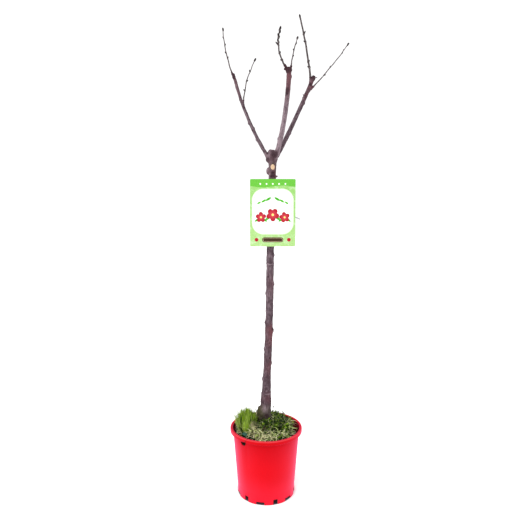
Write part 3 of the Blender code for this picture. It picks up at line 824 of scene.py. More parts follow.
def soil_finish(looks):
    """Dark moist crumbly soil with drier crumbs and fibres, and painted shade that darkens it lower down in
    the pot.
    """
    soil = Finish("potting_soil", looks.colour, 0.95, 0.2)
    place = soil.place()
    lumps = soil.noise(place, 260, 5, 0.65)
    fibre = soil.noise(place, (180, 900, 500), 2, 0.5, 1.5)
    base = soil.blend(soil.rise(lumps, 0.42, 0.72), looks.colour, looks.crumb_colour)
    fibrous = soil.blend(soil.rise(fibre, 0.7, 0.76) * 0.7, base, (0.16, 0.11, 0.06))
    # Painted shade: the soil darkens lower down, inside the pot.
    depth = soil.rise(soil.part(place, "Z"), 0.192, 0.17)
    colour = soil.blend(depth, fibrous, looks.deep_soil_shade)
    return soil.dress(colour, soil.bump(lumps, 0.0016, 0.9), 0.82 + lumps * 0.15)


def soil_height(radius):
    """The soil's level: flat round the trunk and a little lower at the wall."""
    share = min(1, max(0, (radius - SOIL_PAD_RADIUS) / (SOIL_SLOPE_RADIUS - SOIL_PAD_RADIUS)))
    return SOIL_TOP + (SOIL_EDGE - SOIL_TOP) * share


def build_soil(looks):
    foot, low = FOOT_RADIUS - WALL - SOIL_GAP, FLOOR_RAISE + WALL + SOIL_GAP
    rings, steps = 44, 150
    profile = [(SOIL_REACH * i / rings, soil_height(SOIL_REACH * i / rings)) for i in range(rings + 1)]
    soil = spun("potting_soil", profile + [(foot, FOOT_BAND), (foot, low), (0, low)], steps)
    for v in soil.data.vertices:
        reach = hypot(v.co.x, v.co.y)
        if v.co.z > SOIL_EDGE - 0.002 and reach < SOIL_REACH - 0.002:
            lump = noise.fractal(v.co * 70, 0.8, 2.1, 4) + 0.5 * noise.noise(v.co * 320)
            v.co.z += looks.relief * 0.55 * lump * min(1, (SOIL_REACH - reach) / 0.01)
    chance = random.Random(SEED + 5)
    corners, pattern = ball_shape((0, 0, 0), (1, 1, 1), 1)
    points, faces = [], []
    for _ in range(looks.crumbs):
        reach, turn = in_disc(chance, 0.1)
        size = chance.uniform(0.001, 0.0032)
        middle = Vector((reach * cos(turn), reach * sin(turn), soil_height(reach) + size * 0.3))
        faces += shifted(pattern, len(points))
        for corner in corners:
            points.append(middle + corner * size * chance.uniform(0.65, 1.15))
    crumbs = mesh_piece("soil_crumbs", points, faces)
    smooth(soil, 60)
    finish = soil_finish(looks)
    hand_in(soil, [finish], "potting_soil", "soil")
    hand_in(crumbs, [finish], "potting_soil")


# The trunk and boughs

# Bud scars: height on the trunk or share of the bough's length, side (0 right, 90 back, 180 left), reach out
# of the bark and spread.
BUD_SCARS = {
    "trunk": (
        (0.436, -10, 0.003, 0.005), (0.546, -10, 0.0042, 0.0058), (0.7, -10, 0.003, 0.005),
        (0.795, -10, 0.003, 0.005), (0.382, 185, 0.0034, 0.005), (0.482, 185, 0.003, 0.005),
        (0.573, 185, 0.004, 0.005), (0.67, 185, 0.003, 0.005), (0.51, 90, 0.003, 0.005),
        (0.745, 90, 0.003, 0.005), (0.88, 90, 0.003, 0.005), (0.655, 262, 0.0014, 0.0042),
        (0.752, 250, 0.0014, 0.0045), (0.506, 285, 0.0016, 0.005), (0.352, 268, 0.0018, 0.006),
        (0.61, 60, 0.0016, 0.0045), (0.43, 110, 0.0018, 0.005), (0.985, 100, 0.0018, 0.0045),
        (0.84, 205, 0.0018, 0.0042), (1.02, 150, 0.002, 0.0045), (0.32, 60, 0.0018, 0.0055),
    ),
    "bough_left": (
        (0.22, 180, 0.0024, 0.004), (0.35, 0, 0.0024, 0.004), (0.42, 180, 0.0026, 0.004),
        (0.8, 90, 0.0022, 0.004), (0.55, 250, 0.0012, 0.0034), (0.7, 200, 0.0016, 0.0034),
        (0.9, 0, 0.0014, 0.0034),
    ),
    "bough_centre": (
        (0.2, 180, 0.0028, 0.0044), (0.55, 90, 0.0024, 0.0044), (0.9, 0, 0.0026, 0.0044),
        (0.4, 300, 0.0012, 0.004), (0.66, 230, 0.0012, 0.004), (0.32, 100, 0.0016, 0.004),
    ),
    "bough_right": (
        (0.45, 90, 0.0024, 0.0042), (0.67, 0, 0.0026, 0.0042), (0.3, 10, 0.0016, 0.0036),
        (0.55, 240, 0.0012, 0.0038), (0.8, 280, 0.0014, 0.0038),
    ),
}
# Pale rings round the trunk: height and how far each stands out.
RING_SCARS = ((0.334, 0.0012), (0.61, 0.0009), (0.767, 0.0011), (0.905, 0.0006), (1.03, 0.0008))
# Lumps of the gnarled fork head: offset from its middle and half-sizes.
FORK_LUMPS = (
    ((-0.006, -0.004, 0.0145), (0.0105, 0.01, 0.0088)),
    ((0.008, -0.009, 0.006), (0.012, 0.011, 0.013)),
    ((-0.013, -0.002, -0.006), (0.009, 0.0095, 0.014)),
    ((0.006, 0.01, 0.01), (0.012, 0.01, 0.01)),
    ((0.001, -0.0085, -0.015), (0.0095, 0.0085, 0.011)),
)
# Knobs that thicken the boughs' tops: bough, share of its length, side, how far out and half-sizes.
BOUGH_KNOBS = (
    ("bough_left", 0.965, 180, 0.0012, (0.0058, 0.0056, 0.009)),
    ("bough_left", 0.925, 300, 0.001, (0.005, 0.0052, 0.008)),
    ("bough_left", 0.64, 330, 0.0016, (0.0052, 0.005, 0.0075)),
    ("bough_centre", 0.955, 200, 0.0032, (0.008, 0.0078, 0.0066)),
    ("bough_centre", 0.975, 20, 0.003, (0.0062, 0.0066, 0.007)),
    ("bough_centre", 0.905, 90, 0.0014, (0.0076, 0.0074, 0.01)),
    ("bough_right", 0.97, 0, 0.0022, (0.0064, 0.0066, 0.008)),
    ("bough_right", 0.93, 190, 0.0024, (0.0066, 0.0064, 0.008)),
    ("bough_right", 0.83, 0, 0.003, (0.0066, 0.006, 0.0095)),
)
# Short spikes and the thorn: bough, share of its length, side, how far each follows it, length and two radii.
BOUGH_SPIKES = (
    ("bough_right", 0.985, 5, 0.7, 0.011, 0.003, 0.001),
    ("bough_right", 0.965, 200, 0.9, 0.01, 0.0026, 0.0009),
    ("bough_right", 0.74, 180, 1, 0.0125, 0.0021, 0.0009),
    ("bough_right", 0.7, 200, 1.3, 0.01, 0.0018, 0.0007),
    ("bough_centre", 0.965, 185, 0.3, 0.014, 0.004, 0.0028),
    ("bough_left", 0.985, 150, 1.4, 0.0085, 0.0028, 0.0012),
)
# Dark patches: height on the trunk or share of the bough's length, side and spread. The trunk's four from
# 1.034 to 1.059 m on the front paint the shadow under the pruned stub.
DARK_PATCHES = {
    "trunk": ((1.059, 275, 0.009), (1.05, 258, 0.008), (1.051, 290, 0.009), (0.895, 250, 0.009),
              (1.118, 284, 0.0175), (1.104, 205, 0.009), (1.09, 345, 0.006), (1.034, 262, 0.01),
              (0.552, 330, 0.007), (0.487, 10, 0.006), (0.455, 300, 0.0045), (0.725, 240, 0.0045),
              (0.262, 285, 0.009), (0.805, 330, 0.0045)),
    "bough_left": ((0.955, 250, 0.011), (0.6, 300, 0.0045), (0.33, 230, 0.0045)),
    "bough_centre": ((0.755, 245, 0.01), (0.72, 235, 0.009), (0.965, 230, 0.012), (0.13, 200, 0.005)),
    "bough_right": ((0.89, 255, 0.0085), (0.67, 200, 0.005), (0.975, 300, 0.011), (0.52, 250, 0.004)),
}
# Pale patches: place and spread, on the burl, the boughs' collars and the graft. The two on the left of the
# fork head, at 1.117 and 1.127 m, are painted highlights.
PALE_PATCHES = (
    ((-0.001, -0.004, 1.068), 0.009), ((0.003, -0.012, 1.117), 0.011),
    ((0.034, -0.014, 1.105), 0.006), ((0.006, -0.016, 1.127), 0.007),
    ((0.009, -0.012, 1.056), 0.005), ((0.034, -0.015, 1.086), 0.006),
    ((0.039, -0.008, 1.118), 0.007), ((-0.003, -0.02, 0.286), 0.011),
)
# Brown stains round the fresh cut: place, spread and strength.
WOUND_STAINS = (
    ((0.023, -0.015, 1.085), 0.01, 0.5), ((0.033, -0.008, 1.07), 0.0085, 0.55),
    ((0.009, -0.012, 1.078), 0.006, 0.3),
)
# Reddish stretches of the trunk: height, spread and strength.
RUSSET_ZONES = ((0.549, 0.02, 1), (0.512, 0.026, 0.75), (0.425, 0.03, 0.6), (0.7, 0.04, 0.35),
                (1.058, 0.022, 0.85), (0.32, 0.022, 0.45))
# Lumps of the graft union, low on the trunk's left: middle and half-sizes.
GRAFT_LUMPS = (
    ((-0.02, -0.008, 0.256), (0.012, 0.012, 0.013)),
    ((-0.004, -0.011, 0.272), (0.011, 0.009, 0.012)),
    ((-0.017, 0.008, 0.276), (0.011, 0.01, 0.013)),
    ((0.006, 0.002, 0.248), (0.013, 0.013, 0.016)),
)
# Stumps at the fork head, without the pruned one: foot, heading, length and two radii.
FORK_STUMPS = (
    (Vector((0.028, -0.001, 1.048)), (72, -15), 0.0088, 0.0042, 0.0018),
    (FORK + Vector((-0.001, 0, 0.008)), (12, 60), 0.0125, 0.0105, 0.008),
)
PRUNED_RADII = (0.008, 0.0073)
FRESH_CUT_RADIUS = 0.0065
CUT_TALL = 1.48  # how much taller than wide the pruned stub and its fresh cut are
OLD_CUT_SHARE = 0.7  # an old cut's radius, as a share of its bough's


def bark_limbs():
    """The centre lines of the trunk and boughs, as points and radii, and the boughs."""
    sunk = 0.008
    heights = [TRUNK_FOOT.z - sunk + (FORK.z - TRUNK_FOOT.z + sunk) * (i / 90) for i in range(91)]
    radii = [trunk_radius(max(z, TRUNK_FOOT.z)) for z in heights]
    limbs = {"trunk": ([trunk_centre(z) for z in heights], radii)}
    boughs = bough_limbs()
    for name, bough in boughs.items():
        shares = [i / 40 for i in range(41)]
        limbs[name] = ([bough.at(t) for t in shares], [bough.thickness(t) for t in shares])
    return limbs, boughs


def bark_form(voxel):
    """Trunk, boughs, fork, graft and knuckles, fused into one skin by a voxel remesh."""
    limbs, boughs = bark_limbs()
    solids = [tube(name, points, radii, 7) for name, (points, radii) in limbs.items()]
    head = (FORK, (FORK_RADIUS * 0.9,) * 3)
    solids += [ball(*lump) for lump in (head, (GRAFT_CENTRE, GRAFT_RADII), (BURL_CENTRE, BURL_RADII))]
    solids += [ball(FORK + Vector(offset), radii) for offset, radii in FORK_LUMPS]
    solids += [ball(*lump) for lump in GRAFT_LUMPS]
    pruned = (PRUNED_FOOT, heading(*PRUNED_HEADING), PRUNED_LENGTH - 0.0012, *PRUNED_RADII)
    solids.append(stub(*pruned, tall=CUT_TALL))
    solids += [stub(foot, heading(*way), *sizes) for foot, way, *sizes in FORK_STUMPS]
    for shoot in SHOOTS.values():
        stem, knuckle = shoot[4:6]
        limb, head = shoot_limb(boughs, shoot)
        foot = limb.points[0]
        solids.append(stub(foot, (head - foot).normalized(), stem, knuckle * 0.95, knuckle * 0.8, 16))
        solids.append(ball(head, (knuckle * 0.92,) * 3))
    for name, t, side, out, radii in BOUGH_KNOBS:
        bough = boughs[name]
        solids.append(ball(bough.at(t) + bough.side(t, side) * out, radii, aim(bough.along(t))))
    for name, t, side, follow, *sizes in BOUGH_SPIKES:
        bough = boughs[name]
        out = bough.side(t, side)
        solids.append(stub(bough.at(t) + out * 0.003, out + bough.along(t) * follow, *sizes, 12))
    skin = fuse("cherry_bark", solids)
    skin.data.remesh_voxel_size = voxel
    pick(skin)
    bpy.ops.object.voxel_remesh()
    add_modifier(skin, "SMOOTH", factor=0.5, iterations=4)
    return skin, limbs, boughs


def chart(points, limbs):
    """For each point its limb, its share of that limb's length and its place in the limb's grain."""
    best = np.full(len(points), np.inf)
    owner = np.zeros(len(points), int)
    share_up = np.zeros(len(points))
    grain = points.copy()
    for index, (route, radii) in enumerate(limbs.values()):
        line = np.array([tuple(p) for p in route])
        whole = norm(np.diff(line, axis=0), axis=1).sum()
        nearest = np.full(len(points), np.inf)
        depth, along = np.zeros(len(points)), np.zeros(len(points))
        across = np.zeros((len(points), 2))
        run = 0
        for a, b, low, high in zip(line, line[1:], radii, radii[1:]):
            step = b - a
            length = norm(step)
            share = np.clip((points - a) @ step / length**2, 0, 1)
            out = points - (a + share[:, None] * step)
            distance = norm(out, axis=1)
            near = distance < nearest
            nearest[near] = distance[near]
            depth[near] = (distance - low - (high - low) * share)[near]
            along[near] = (run + share * length)[near]
            right = np.cross(step / length, (0, -1, 0))
            right /= norm(right)
            back = np.cross(step / length, right)
            across[near] = np.stack((out @ right, out @ back), axis=1)[near]
            run += length
        closer = depth < best
        best[closer] = depth[closer]
        owner[closer] = index
        share_up[closer] = (along / whole)[closer]
        if index:
            grain[closer] = np.column_stack((across + line[0, :2], along + line[0, 2]))[closer]
    away = fade(distances(points, FORK), 0.02, 0.055)[:, None]
    return owner, share_up, points + (grain - points) * away


def limb_place(name, share, side, boughs):
    """A spot on the bark, by height on the trunk or share of a bough's length, and by side."""
    if name == "trunk":
        return trunk_centre(share) + heading(90, side) * trunk_radius(share)
    limb = boughs[name]
    return limb.at(share) + limb.side(share, side) * limb.thickness(share)


# The next functions work on arrays.

def fade(values, low, high):
    """A soft step from 0 at low to 1 at high."""
    share = np.clip((values - low) / (high - low), 0, 1)
    return share * share * (3 - 2 * share)


def distances(points, place):
    return norm(points - np.array(place), axis=1)


def hump(values, centre, spread):
    """A soft hump of height 1 about a centre."""
    return np.exp(-(((values - centre) / spread) ** 2))


def spot(points, place, spread):
    """A soft round mask about a place."""
    return hump(distances(points, place), 0, spread)


def waves(places):
    """Soft noise at each place."""
    return np.array([noise.noise(place) for place in places])


def read(mesh, name):
    """A vector of each of a mesh's points, as an array."""
    values = np.zeros(len(mesh.vertices) * 3)
    mesh.vertices.foreach_get(name, values)
    return values.reshape(-1, 3)


def bark_relief(skin, limbs, boughs, depth):
    """Moves the skin's points by the bark's relief and stores the masks that its finish reads."""
    mesh = skin.data
    points, normals = read(mesh, "co"), read(mesh, "normal")
    owner, share_up, grain = chart(points, limbs)
    wrinkle = waves(grain * (150, 150, 55)) + 0.6 * waves(grain * (330, 330, 150))
    swell = waves(grain * (30, 30, 34) + (0, 0, 7))
    gnarl = np.array([noise.fractal(place, 0.7, 2.2, 3) for place in points * 95])
    knotty = 1 - fade(distances(points, FORK), 0.016, 0.04)
    grafted = 1 - fade(distances(points, GRAFT_CENTRE), 0.022, 0.06)
    on_trunk = owner == 0
    tip = np.where(on_trunk, 0, fade(share_up, 0.9, 0.97))
    height = depth * np.where(on_trunk, 0.75, 0.42) * wrinkle + np.where(on_trunk, 0.0012, 0.0006) * swell
    height += gnarl * (0.0024 * knotty + 0.0017 * grafted + 0.0012 * tip)
    scar = np.maximum(0.75 * tip, 0.42 * knotty)
    callus = np.zeros(len(points))
    angle = np.arctan2(points[:, 1], points[:, 0] - FORK.x)
    for z, rise in RING_SCARS:
        wave = 0.0016 * np.sin(2 * angle + z * 40) + 0.0008 * np.sin(5 * angle + z * 90)
        ring = hump(points[:, 2] + wave, z, 0.0016) * on_trunk
        height += rise * ring
        broken = np.clip(0.55 + 0.75 * np.sin(angle * 3 + z * 60), 0.1, 1.2)
        callus = np.maximum(callus, broken * ring * min(1, rise / 0.0011))
    for name, scars in BUD_SCARS.items():
        for share, side, reach, spread in scars:
            place = np.array(limb_place(name, share, side, boughs))
            far = norm((points - place) * (1, 1, 0.85), axis=1) / spread
            height += reach * hump(far, 0, 1) - 0.22 * reach * hump(far, 0, 0.38)
            scar = np.maximum(scar, min(1, reach / 0.0026) * hump(far, 0, 0.6))
            callus = np.maximum(callus, 0.18 * hump(far, 1.15, 0.25))
    # Dark patches; those just under the pruned stub are its painted shadow.
    for name, patches in DARK_PATCHES.items():
        for share, side, spread in patches:
            scar = np.maximum(scar, 0.86 * spot(points, limb_place(name, share, side, boughs), spread))
    # Pale patches; the two on the left of the fork head are painted highlights.
    for place, spread in PALE_PATCHES:
        callus = np.maximum(callus, 0.75 * spot(points, place, spread))
    mossy = (1 - fade(points[:, 2], 0.276, 0.306)) * np.clip(0.85 - 0.6 * normals[:, 0], 0.5, 1.2)
    for place, spread, weight in WOUND_STAINS:
        mossy = np.maximum(mossy, weight * spot(points, place, spread))
    points += normals * height[:, None]
    mesh.vertices.foreach_set("co", points.ravel())
    store(mesh, "grain", grain, "FLOAT_VECTOR")
    store(mesh, "scar", scar)
    store(mesh, "callus", callus)
    store(mesh, "mossy", mossy)
    store(mesh, "russet", russet_mask(points, normals, owner, share_up, knotty))
    store(mesh, "shade", tone_and_painted_light_mask(points, normals, owner, share_up))
    mesh.update()


def russet_mask(points, normals, owner, share_up, knotty):
    """Where the bark is reddish: the boughs' tops, the fork head and some stretches of the trunk."""
    tops = np.where(owner == 0, 0, fade(share_up, 0.55, 0.9)) * np.array([0, 0.35, 0.9, 0.6])[owner]
    right = np.clip(normals[:, 0] * 0.5 + 0.75, 0, 1)
    zones = 0.3 * knotty
    for height, spread, weight in RUSSET_ZONES:
        zones = zones + weight * hump(points[:, 2], height, spread) * right * (owner == 0)
    return np.clip(tops + zones, 0, 1)


def tone_and_painted_light_mask(points, normals, owner, share_up):
    """How pale the bark is: paler on the left and darker on the right as painted light and shade, darker under
    the card as a painted shadow, darker towards the foot, and paler on the centre bough.
    """
    # Painted light and shade: the left side paler, the right side darker.
    sides = -0.55 * normals[:, 0]
    limbs = np.array([0, -0.25, 1.7, -0.4])[owner]
    fading = np.where(owner == 2, 1 - 1.1 * fade(share_up, 0.5, 0.88), 1)
    foot = -1.15 * (1 - fade(points[:, 2], 0.32, 0.78)) * (owner == 0)
    # A painted shadow of the label card, just under it.
    under_card = -0.9 * hump(points[:, 2], 0.806, 0.016) * (owner == 0)
    return sides + limbs * fading + foot + under_card


def store(mesh, name, values, kind="FLOAT"):
    """Keeps a value or vector for each point, under a name that a finish can read."""
    attribute = mesh.attributes.new(name, kind, "POINT")
    field = "vector" if kind == "FLOAT_VECTOR" else "value"
    attribute.data.foreach_set(field, np.ravel(values).astype(np.float32))


def bark_finish(looks):
    """Mauve-brown cherry bark, streaked and blotched, with reddish stretches, pale rings, a mossy foot, and
    painted light, shade, shadow and highlights from its masks.
    """
    bark = Finish("cherry_bark", looks.middle, 0.72, 0.16)
    grain = bark.attribute("grain", "Vector")
    blotch = bark.noise(grain, (70, 70, 60), 3, 0.6, 0.7)
    mottle = bark.noise(grain, (170, 170, 90), 4, 0.62, 0.5)
    streak = bark.noise(grain, (340, 340, 36), 3, 0.6)
    crack = bark.noise(grain, (240, 240, 380), 4, 0.62, 0.8)
    pores = bark.cells(grain, (120, 120, 340))
    chosen = bark.noise(grain, (60, 60, 160), 1)
    pore = (1 - bark.rise(pores, 0.14, 0.3)) * bark.rise(chosen, 0.54, 0.62)
    # The shade attribute brings in the painted light and shade.
    tone = blotch * 0.28 + mottle * 0.32 + streak * 0.4 + bark.attribute("shade") * 0.06
    light = mixed(looks.middle, looks.pale, 0.5)
    base = bark.ramp(tone, [(0.4, looks.dark), (0.5, looks.middle), (0.6, light), (0.72, looks.pale)])
    flawed = (0.6 - bark.attribute("shade") * 0.3).lower(0.6).higher(0.08)
    rough_dark = bark.blend(bark.rise(crack, 0.54, 0.68) * flawed, base, looks.dark)
    warm = bark.attribute("russet") * 0.9 * bark.rise(mottle, 0.3, 0.54)
    pored = bark.blend(pore * 0.4, bark.blend(warm, rough_dark, looks.russet), looks.pore)
    moss = (bark.attribute("mossy") * bark.rise(mottle, 0.26, 0.52)).lower(1)
    # Pale rings and patches, with the painted highlights on the fork head.
    callus = (bark.attribute("callus") * bark.rise(streak, 0.2, 0.55)).lower(0.9)
    healed_and_highlit = bark.blend(callus, bark.blend(moss, pored, looks.foot), looks.pale)
    # Scars and dark patches, with the painted shadow under the pruned stub.
    scarred_and_shadowed = bark.rise(bark.attribute("scar") + (mottle - 0.5) * 0.9, 0.25, 0.8)
    colour = bark.blend(scarred_and_shadowed * (0.58 + streak * 0.6), healed_and_highlit, looks.scar)
    relief = bark.bump(crack * 0.55 + streak * 0.45 + pore * 0.25, 0.0011, 0.85)
    return bark.dress(colour, relief, 0.64 + crack * 0.22)


def cut_finish(name, pale, dark, middle, direction):
    """Cut wood with growth rings round its own middle and a darker rim."""
    wood = Finish(name, pale, 0.6, 0.3)
    offset = wood.vector("SUBTRACT", wood.place(), tuple(middle))
    along = wood.vector("DOT_PRODUCT", offset, tuple(direction), output="Value")
    whole = wood.length(offset)
    reach = (whole * whole - along * along).higher(0) ** 0.5
    rings = wood.noise(wood.node("CombineXYZ", {}, (reach * 1500, 0, 0)), 1, 2, 0.6)
    stain_and_shade = wood.noise(wood.place(), 260, 3, 0.6)
    ringed = wood.blend(wood.rise(rings, 0.4, 0.66) * 0.55, pale, dark)
    colour = wood.blend(wood.rise(stain_and_shade, 0.52, 0.72) * 0.5, ringed, dark)
    return wood.dress(colour, wood.bump(rings * 0.6 + stain_and_shade * 0.4, 0.0004, 0.6))


def cut_face(name, centre, direction, radius, tall=1):
    """A pruning cut's face: a slightly domed disc with a rounded rim, an upright oval if tall."""
    bpy.ops.mesh.primitive_cylinder_add(vertices=40, radius=radius, depth=0.0016)
    disc = named(name)
    edit(disc)
    select_faces(disc, lambda normal: normal.z > 0.9)
    for rise in (0.0004, 0.0001):
        bpy.ops.mesh.inset(thickness=radius * 0.35, depth=rise)
    leave_edit()
    bevel(disc, 0.0003, 2, 50)
    disc.matrix_world = posed(centre, aim(direction), (1, tall, 1))
    smooth(disc, 40)
    return settle(disc)


def add_cut(name, wood, pale, dark, centre, direction, *sizes):
    face = cut_face(name, centre, direction, *sizes)
    hand_in(face, [cut_finish(wood, pale, dark, centre, direction)], "cherry_bark")


def build_bark(looks):
    skin, limbs, boughs = bark_form(looks.voxel)
    bark_relief(skin, limbs, boughs, looks.relief)
    smooth(skin)
    hand_in(skin, [bark_finish(looks)], "cherry_bark", "trunk", *BOUGHS)
    direction = heading(*PRUNED_HEADING)
    centre = PRUNED_FOOT + direction * (PRUNED_LENGTH - 0.0008)
    fresh = ("pruning_cut_trunk", "fresh_cut_wood", looks.wood, looks.ring)
    add_cut(*fresh, centre, direction, FRESH_CUT_RADIUS, CUT_TALL)
    for name, bough in boughs.items():
        direction = bough.along(1)
        centre = bough.at(1) + direction * 0.0002
        names = [name.replace("bough", kind) for kind in ("old_cut", "old_cut_wood")]
        add_cut(*names, looks.old_wood, looks.scar, centre, direction, bough.tip_radius * OLD_CUT_SHARE)


# The shoots and their buds

def young_finish(looks):
    """Thin young bark: dark, with patches of pale bloom and fine pores."""
    young = Finish("young_bark", looks.bark, 0.6, 0.35)
    place = young.place()
    bloom = young.noise(place, (260, 260, 70), 3, 0.6)
    pores = young.cells(place, (420, 420, 620))
    base = young.ramp(bloom, [(0.36, shaded(looks.bark, 0.45)), (0.52, looks.bark), (0.68, looks.pale)])
    colour = young.blend((1 - young.rise(pores, 0.1, 0.2)) * 0.5, base, looks.pale)
    return young.dress(colour, young.bump(bloom, 0.0005, 0.7), 0.5 + bloom * 0.2)


# Extra small buds that make a shoot's top thick and knotty: their shares of its length and their sides.
CROWDED = {"twigs_centre_left": ((0.66, 20), (0.71, 190), (0.77, 60), (0.83, 200), (0.9, 330), (0.94, 150))}
# The buds beside a shoot's last one: share of its length, turn, lean, length and radius.
BESIDE_TIP = ((0.965, 0, 0.32, 0.0095, 0.0025), (0.97, 150, 0.36, 0.008, 0.0022))
# How much slimmer and shorter a finished bud is than its solid, and how much shorter a spur is.
BUD_SLIM = 0.88
BUD_SHORT = 0.82
SPUR_SHORT = 0.62


def shoot_route(limb, stem, ring, buds, index):
    """A shoot's fine line and radii: a slight bend and swelling at each bud, and ring scars at its foot."""
    steps = int(limb.length / ring)
    points, radii = [], []
    for i in range(steps + 1):
        t = i / steps
        bend = sum((-1) ** order * 0.0009 * exp(-abs(t - bud) * 16) for order, bud in enumerate(buds))
        drift = noise.noise((t * 7, index * 9.1, 0.3)) * 0.0011 * min(1, t * 8) * min(1, (1 - t) * 8)
        side, back = limb.side(t, 0), limb.side(t, 90)
        points.append(limb.at(t) + side * (bend + drift) + back * drift * 0.7)
        run, thickness = t * limb.length, limb.thickness(t)
        radius = thickness * (1 + 0.1 * noise.noise((t * 40, index * 3.7, 4)))
        for bud in buds:
            radius += thickness * 0.34 * gauss(run, bud * limb.length, 0.0026)
        for order in range(4):
            radius += 0.00045 * gauss(run, stem + 0.004 + order * 0.0021, 0.0007)
        radii.append(radius)
    return points, radii


def bud_places(name, limb, buds, spurs, first_side, chance):
    """The source's rule for the buds: foot, way, length and radius of each, and the spurs that carry some."""
    places, stems = [], []
    for i, t in enumerate(buds):
        out = limb.side(t, first_side + 180 * i + chance.uniform(-25, 25))
        along, thickness = limb.along(t), limb.thickness(t)
        foot = limb.at(t) + out * thickness * 0.4
        if t in spurs:
            way = (out * 0.55 + along * 0.83).normalized()
            reach = chance.uniform(0.012, 0.016) * SPUR_SHORT
            stems.append((foot, way, reach, thickness * 0.9))
            tip = foot + way * (reach - 0.003)
            places.append((tip, way, 0.0085, 0.0024))
            across = (limb.side(t, 200) * 0.5 + way).normalized()
            places.append((tip - way * 0.002, across, 0.006, 0.0019))
        else:
            way = (out * 0.42 + along * 0.9).normalized()
            foot += out * thickness * 0.4
            places.append((foot, way, chance.uniform(0.007, 0.009), 0.002))
    for t, side in CROWDED.get(name, ()):
        out = limb.side(t, side)
        way = (out * 0.3 + limb.along(t)).normalized()
        places.append((limb.at(t) + out * limb.thickness(t) * 0.5, way, 0.0105, 0.0028))
    tip = limb.along(1)
    places.append((limb.at(1) - tip * 0.002, tip, 0.0125, 0.0035))
    for t, turn, lean, *sizes in BESIDE_TIP:
        way = (tip + limb.side(0.97, first_side + turn) * lean).normalized()
        places.append((limb.at(t), way, *sizes))
    return [(foot, way, length * BUD_SHORT, radius * BUD_SLIM) for foot, way, length, radius in places], stems


def spur_tube(name, foot, way, reach, radius):
    """A short spur whose wrinkled rings mark its years."""
    steps = 14
    points = [foot + way * reach * i / steps for i in range(steps + 1)]
    radii = [radius * (1 - 0.35 * i / steps) * (1 + 0.13 * (i % 2)) for i in range(steps + 1)]
    return tube(name, points, radii, 3)


def shoots_plan():
    """Each shoot's limb, its settings and its bud places, by the source's seeded rule."""
    chance = random.Random(SEED)
    boughs = bough_limbs()
    for name, shoot in SHOOTS.items():
        limb, _ = shoot_limb(boughs, shoot)
        yield name, shoot, limb, *bud_places(name, limb, *shoot[11:], chance)


def build_shoots(looks):
    wood = []
    for index, (name, shoot, limb, places, stems) in enumerate(shoots_plan()):
        points, radii = shoot_route(limb, shoot[4], looks.ring, shoot[11], index)
        wood.append(tube(name + "_wood", points, radii, 4))
        wood += [spur_tube(name + "_spur", *stem) for stem in stems]
        for foot, way, length, radius in places:
            cushion = foot + way * length * 0.02
            wood.append(ball(cushion, (radius * 0.95, radius * 0.95, radius * 0.7), detail=2))
    shoots = fuse("young_shoots", wood)
    smooth(shoots)
    hand_in(shoots, [young_finish(looks)], "young_bark", *SHOOTS)


def bud_radius(share, angle):
    """The relative radius of a bud with eight overlapping scales, and how near to a scale's edge it is."""
    outline = sin(pi * min(1, 0.16 + 0.84 * share) ** 0.85) ** 0.75 if share < 1 else 0
    for scale in range(8):
        tip = 0.34 + 0.66 * scale / 7
        if share > tip:
            continue
        off = abs((angle - scale * GOLDEN_ANGLE + pi) % tau - pi)
        width = radians(88) * sqrt(max(0, 1 - share / tip))
        if off < width:
            edge = 1 - min(1, (width - off) / 0.5) if width else 1
            return outline * (1 + 0.07 * (1 - scale / 8)), edge
    return outline, 0


def bud_pattern(sides=18, rings=14):
    """One bud of unit length and radius, as points, faces and the share of edge at each point."""
    points, edges = [(0, 0, -0.08)], [0]
    for j in range(rings):
        share = (j + 0.4) / rings
        for i in range(sides):
            angle = tau * i / sides
            radius, edge = bud_radius(share, angle)
            points.append((radius * cos(angle), radius * sin(angle), share))
            edges.append(edge)
    points.append((0, 0, 1.02))
    edges.append(0.4)
    last = len(points) - 1
    faces = [(0, 1 + (i + 1) % sides, 1 + i) for i in range(sides)]
    for j in range(rings - 1):
        faces += ring_faces(1 + j * sides, 1 + (j + 1) * sides, sides)
    faces += tip_faces(1 + (rings - 1) * sides, last, sides)
    return points, faces, edges


def bud_finish(looks):
    """Near-black bud scales with thin brown edges."""
    scale = Finish("bud_scales", looks.bud, 0.42, 0.22)
    speck = scale.noise(scale.place(), 1400, 2)
    edge = scale.rise(scale.attribute("scale_edge"), 0.6, 1) * scale.rise(speck, 0.2, 0.7)
    colour = scale.blend(edge * 0.7, looks.bud, looks.bud_edge)
    return scale.dress(colour, scale.bump(speck, 0.0002, 0.5), 0.36 + speck * 0.2)


def build_buds(looks):
    pattern, pattern_faces, pattern_edges = bud_pattern()
    points, faces, edges = [], [], []
    chance = random.Random(SEED + 2)
    for *_, places, _ in shoots_plan():
        for foot, way, length, radius in places:
            turn = aim(way) @ Matrix.Rotation(any_turn(chance), 4, "Z")
            place = posed(foot - way * length * 0.08, turn, (radius, radius, length))
            faces += shifted(pattern_faces, len(points))
            points += [place @ Vector(p) for p in pattern]
            edges += pattern_edges
    buds = mesh_piece("winter_buds", points, faces)
    store(buds.data, "scale_edge", edges)
    smooth(buds, 50)
    hand_in(buds, [bud_finish(looks)], "young_bark")


# The low green cover

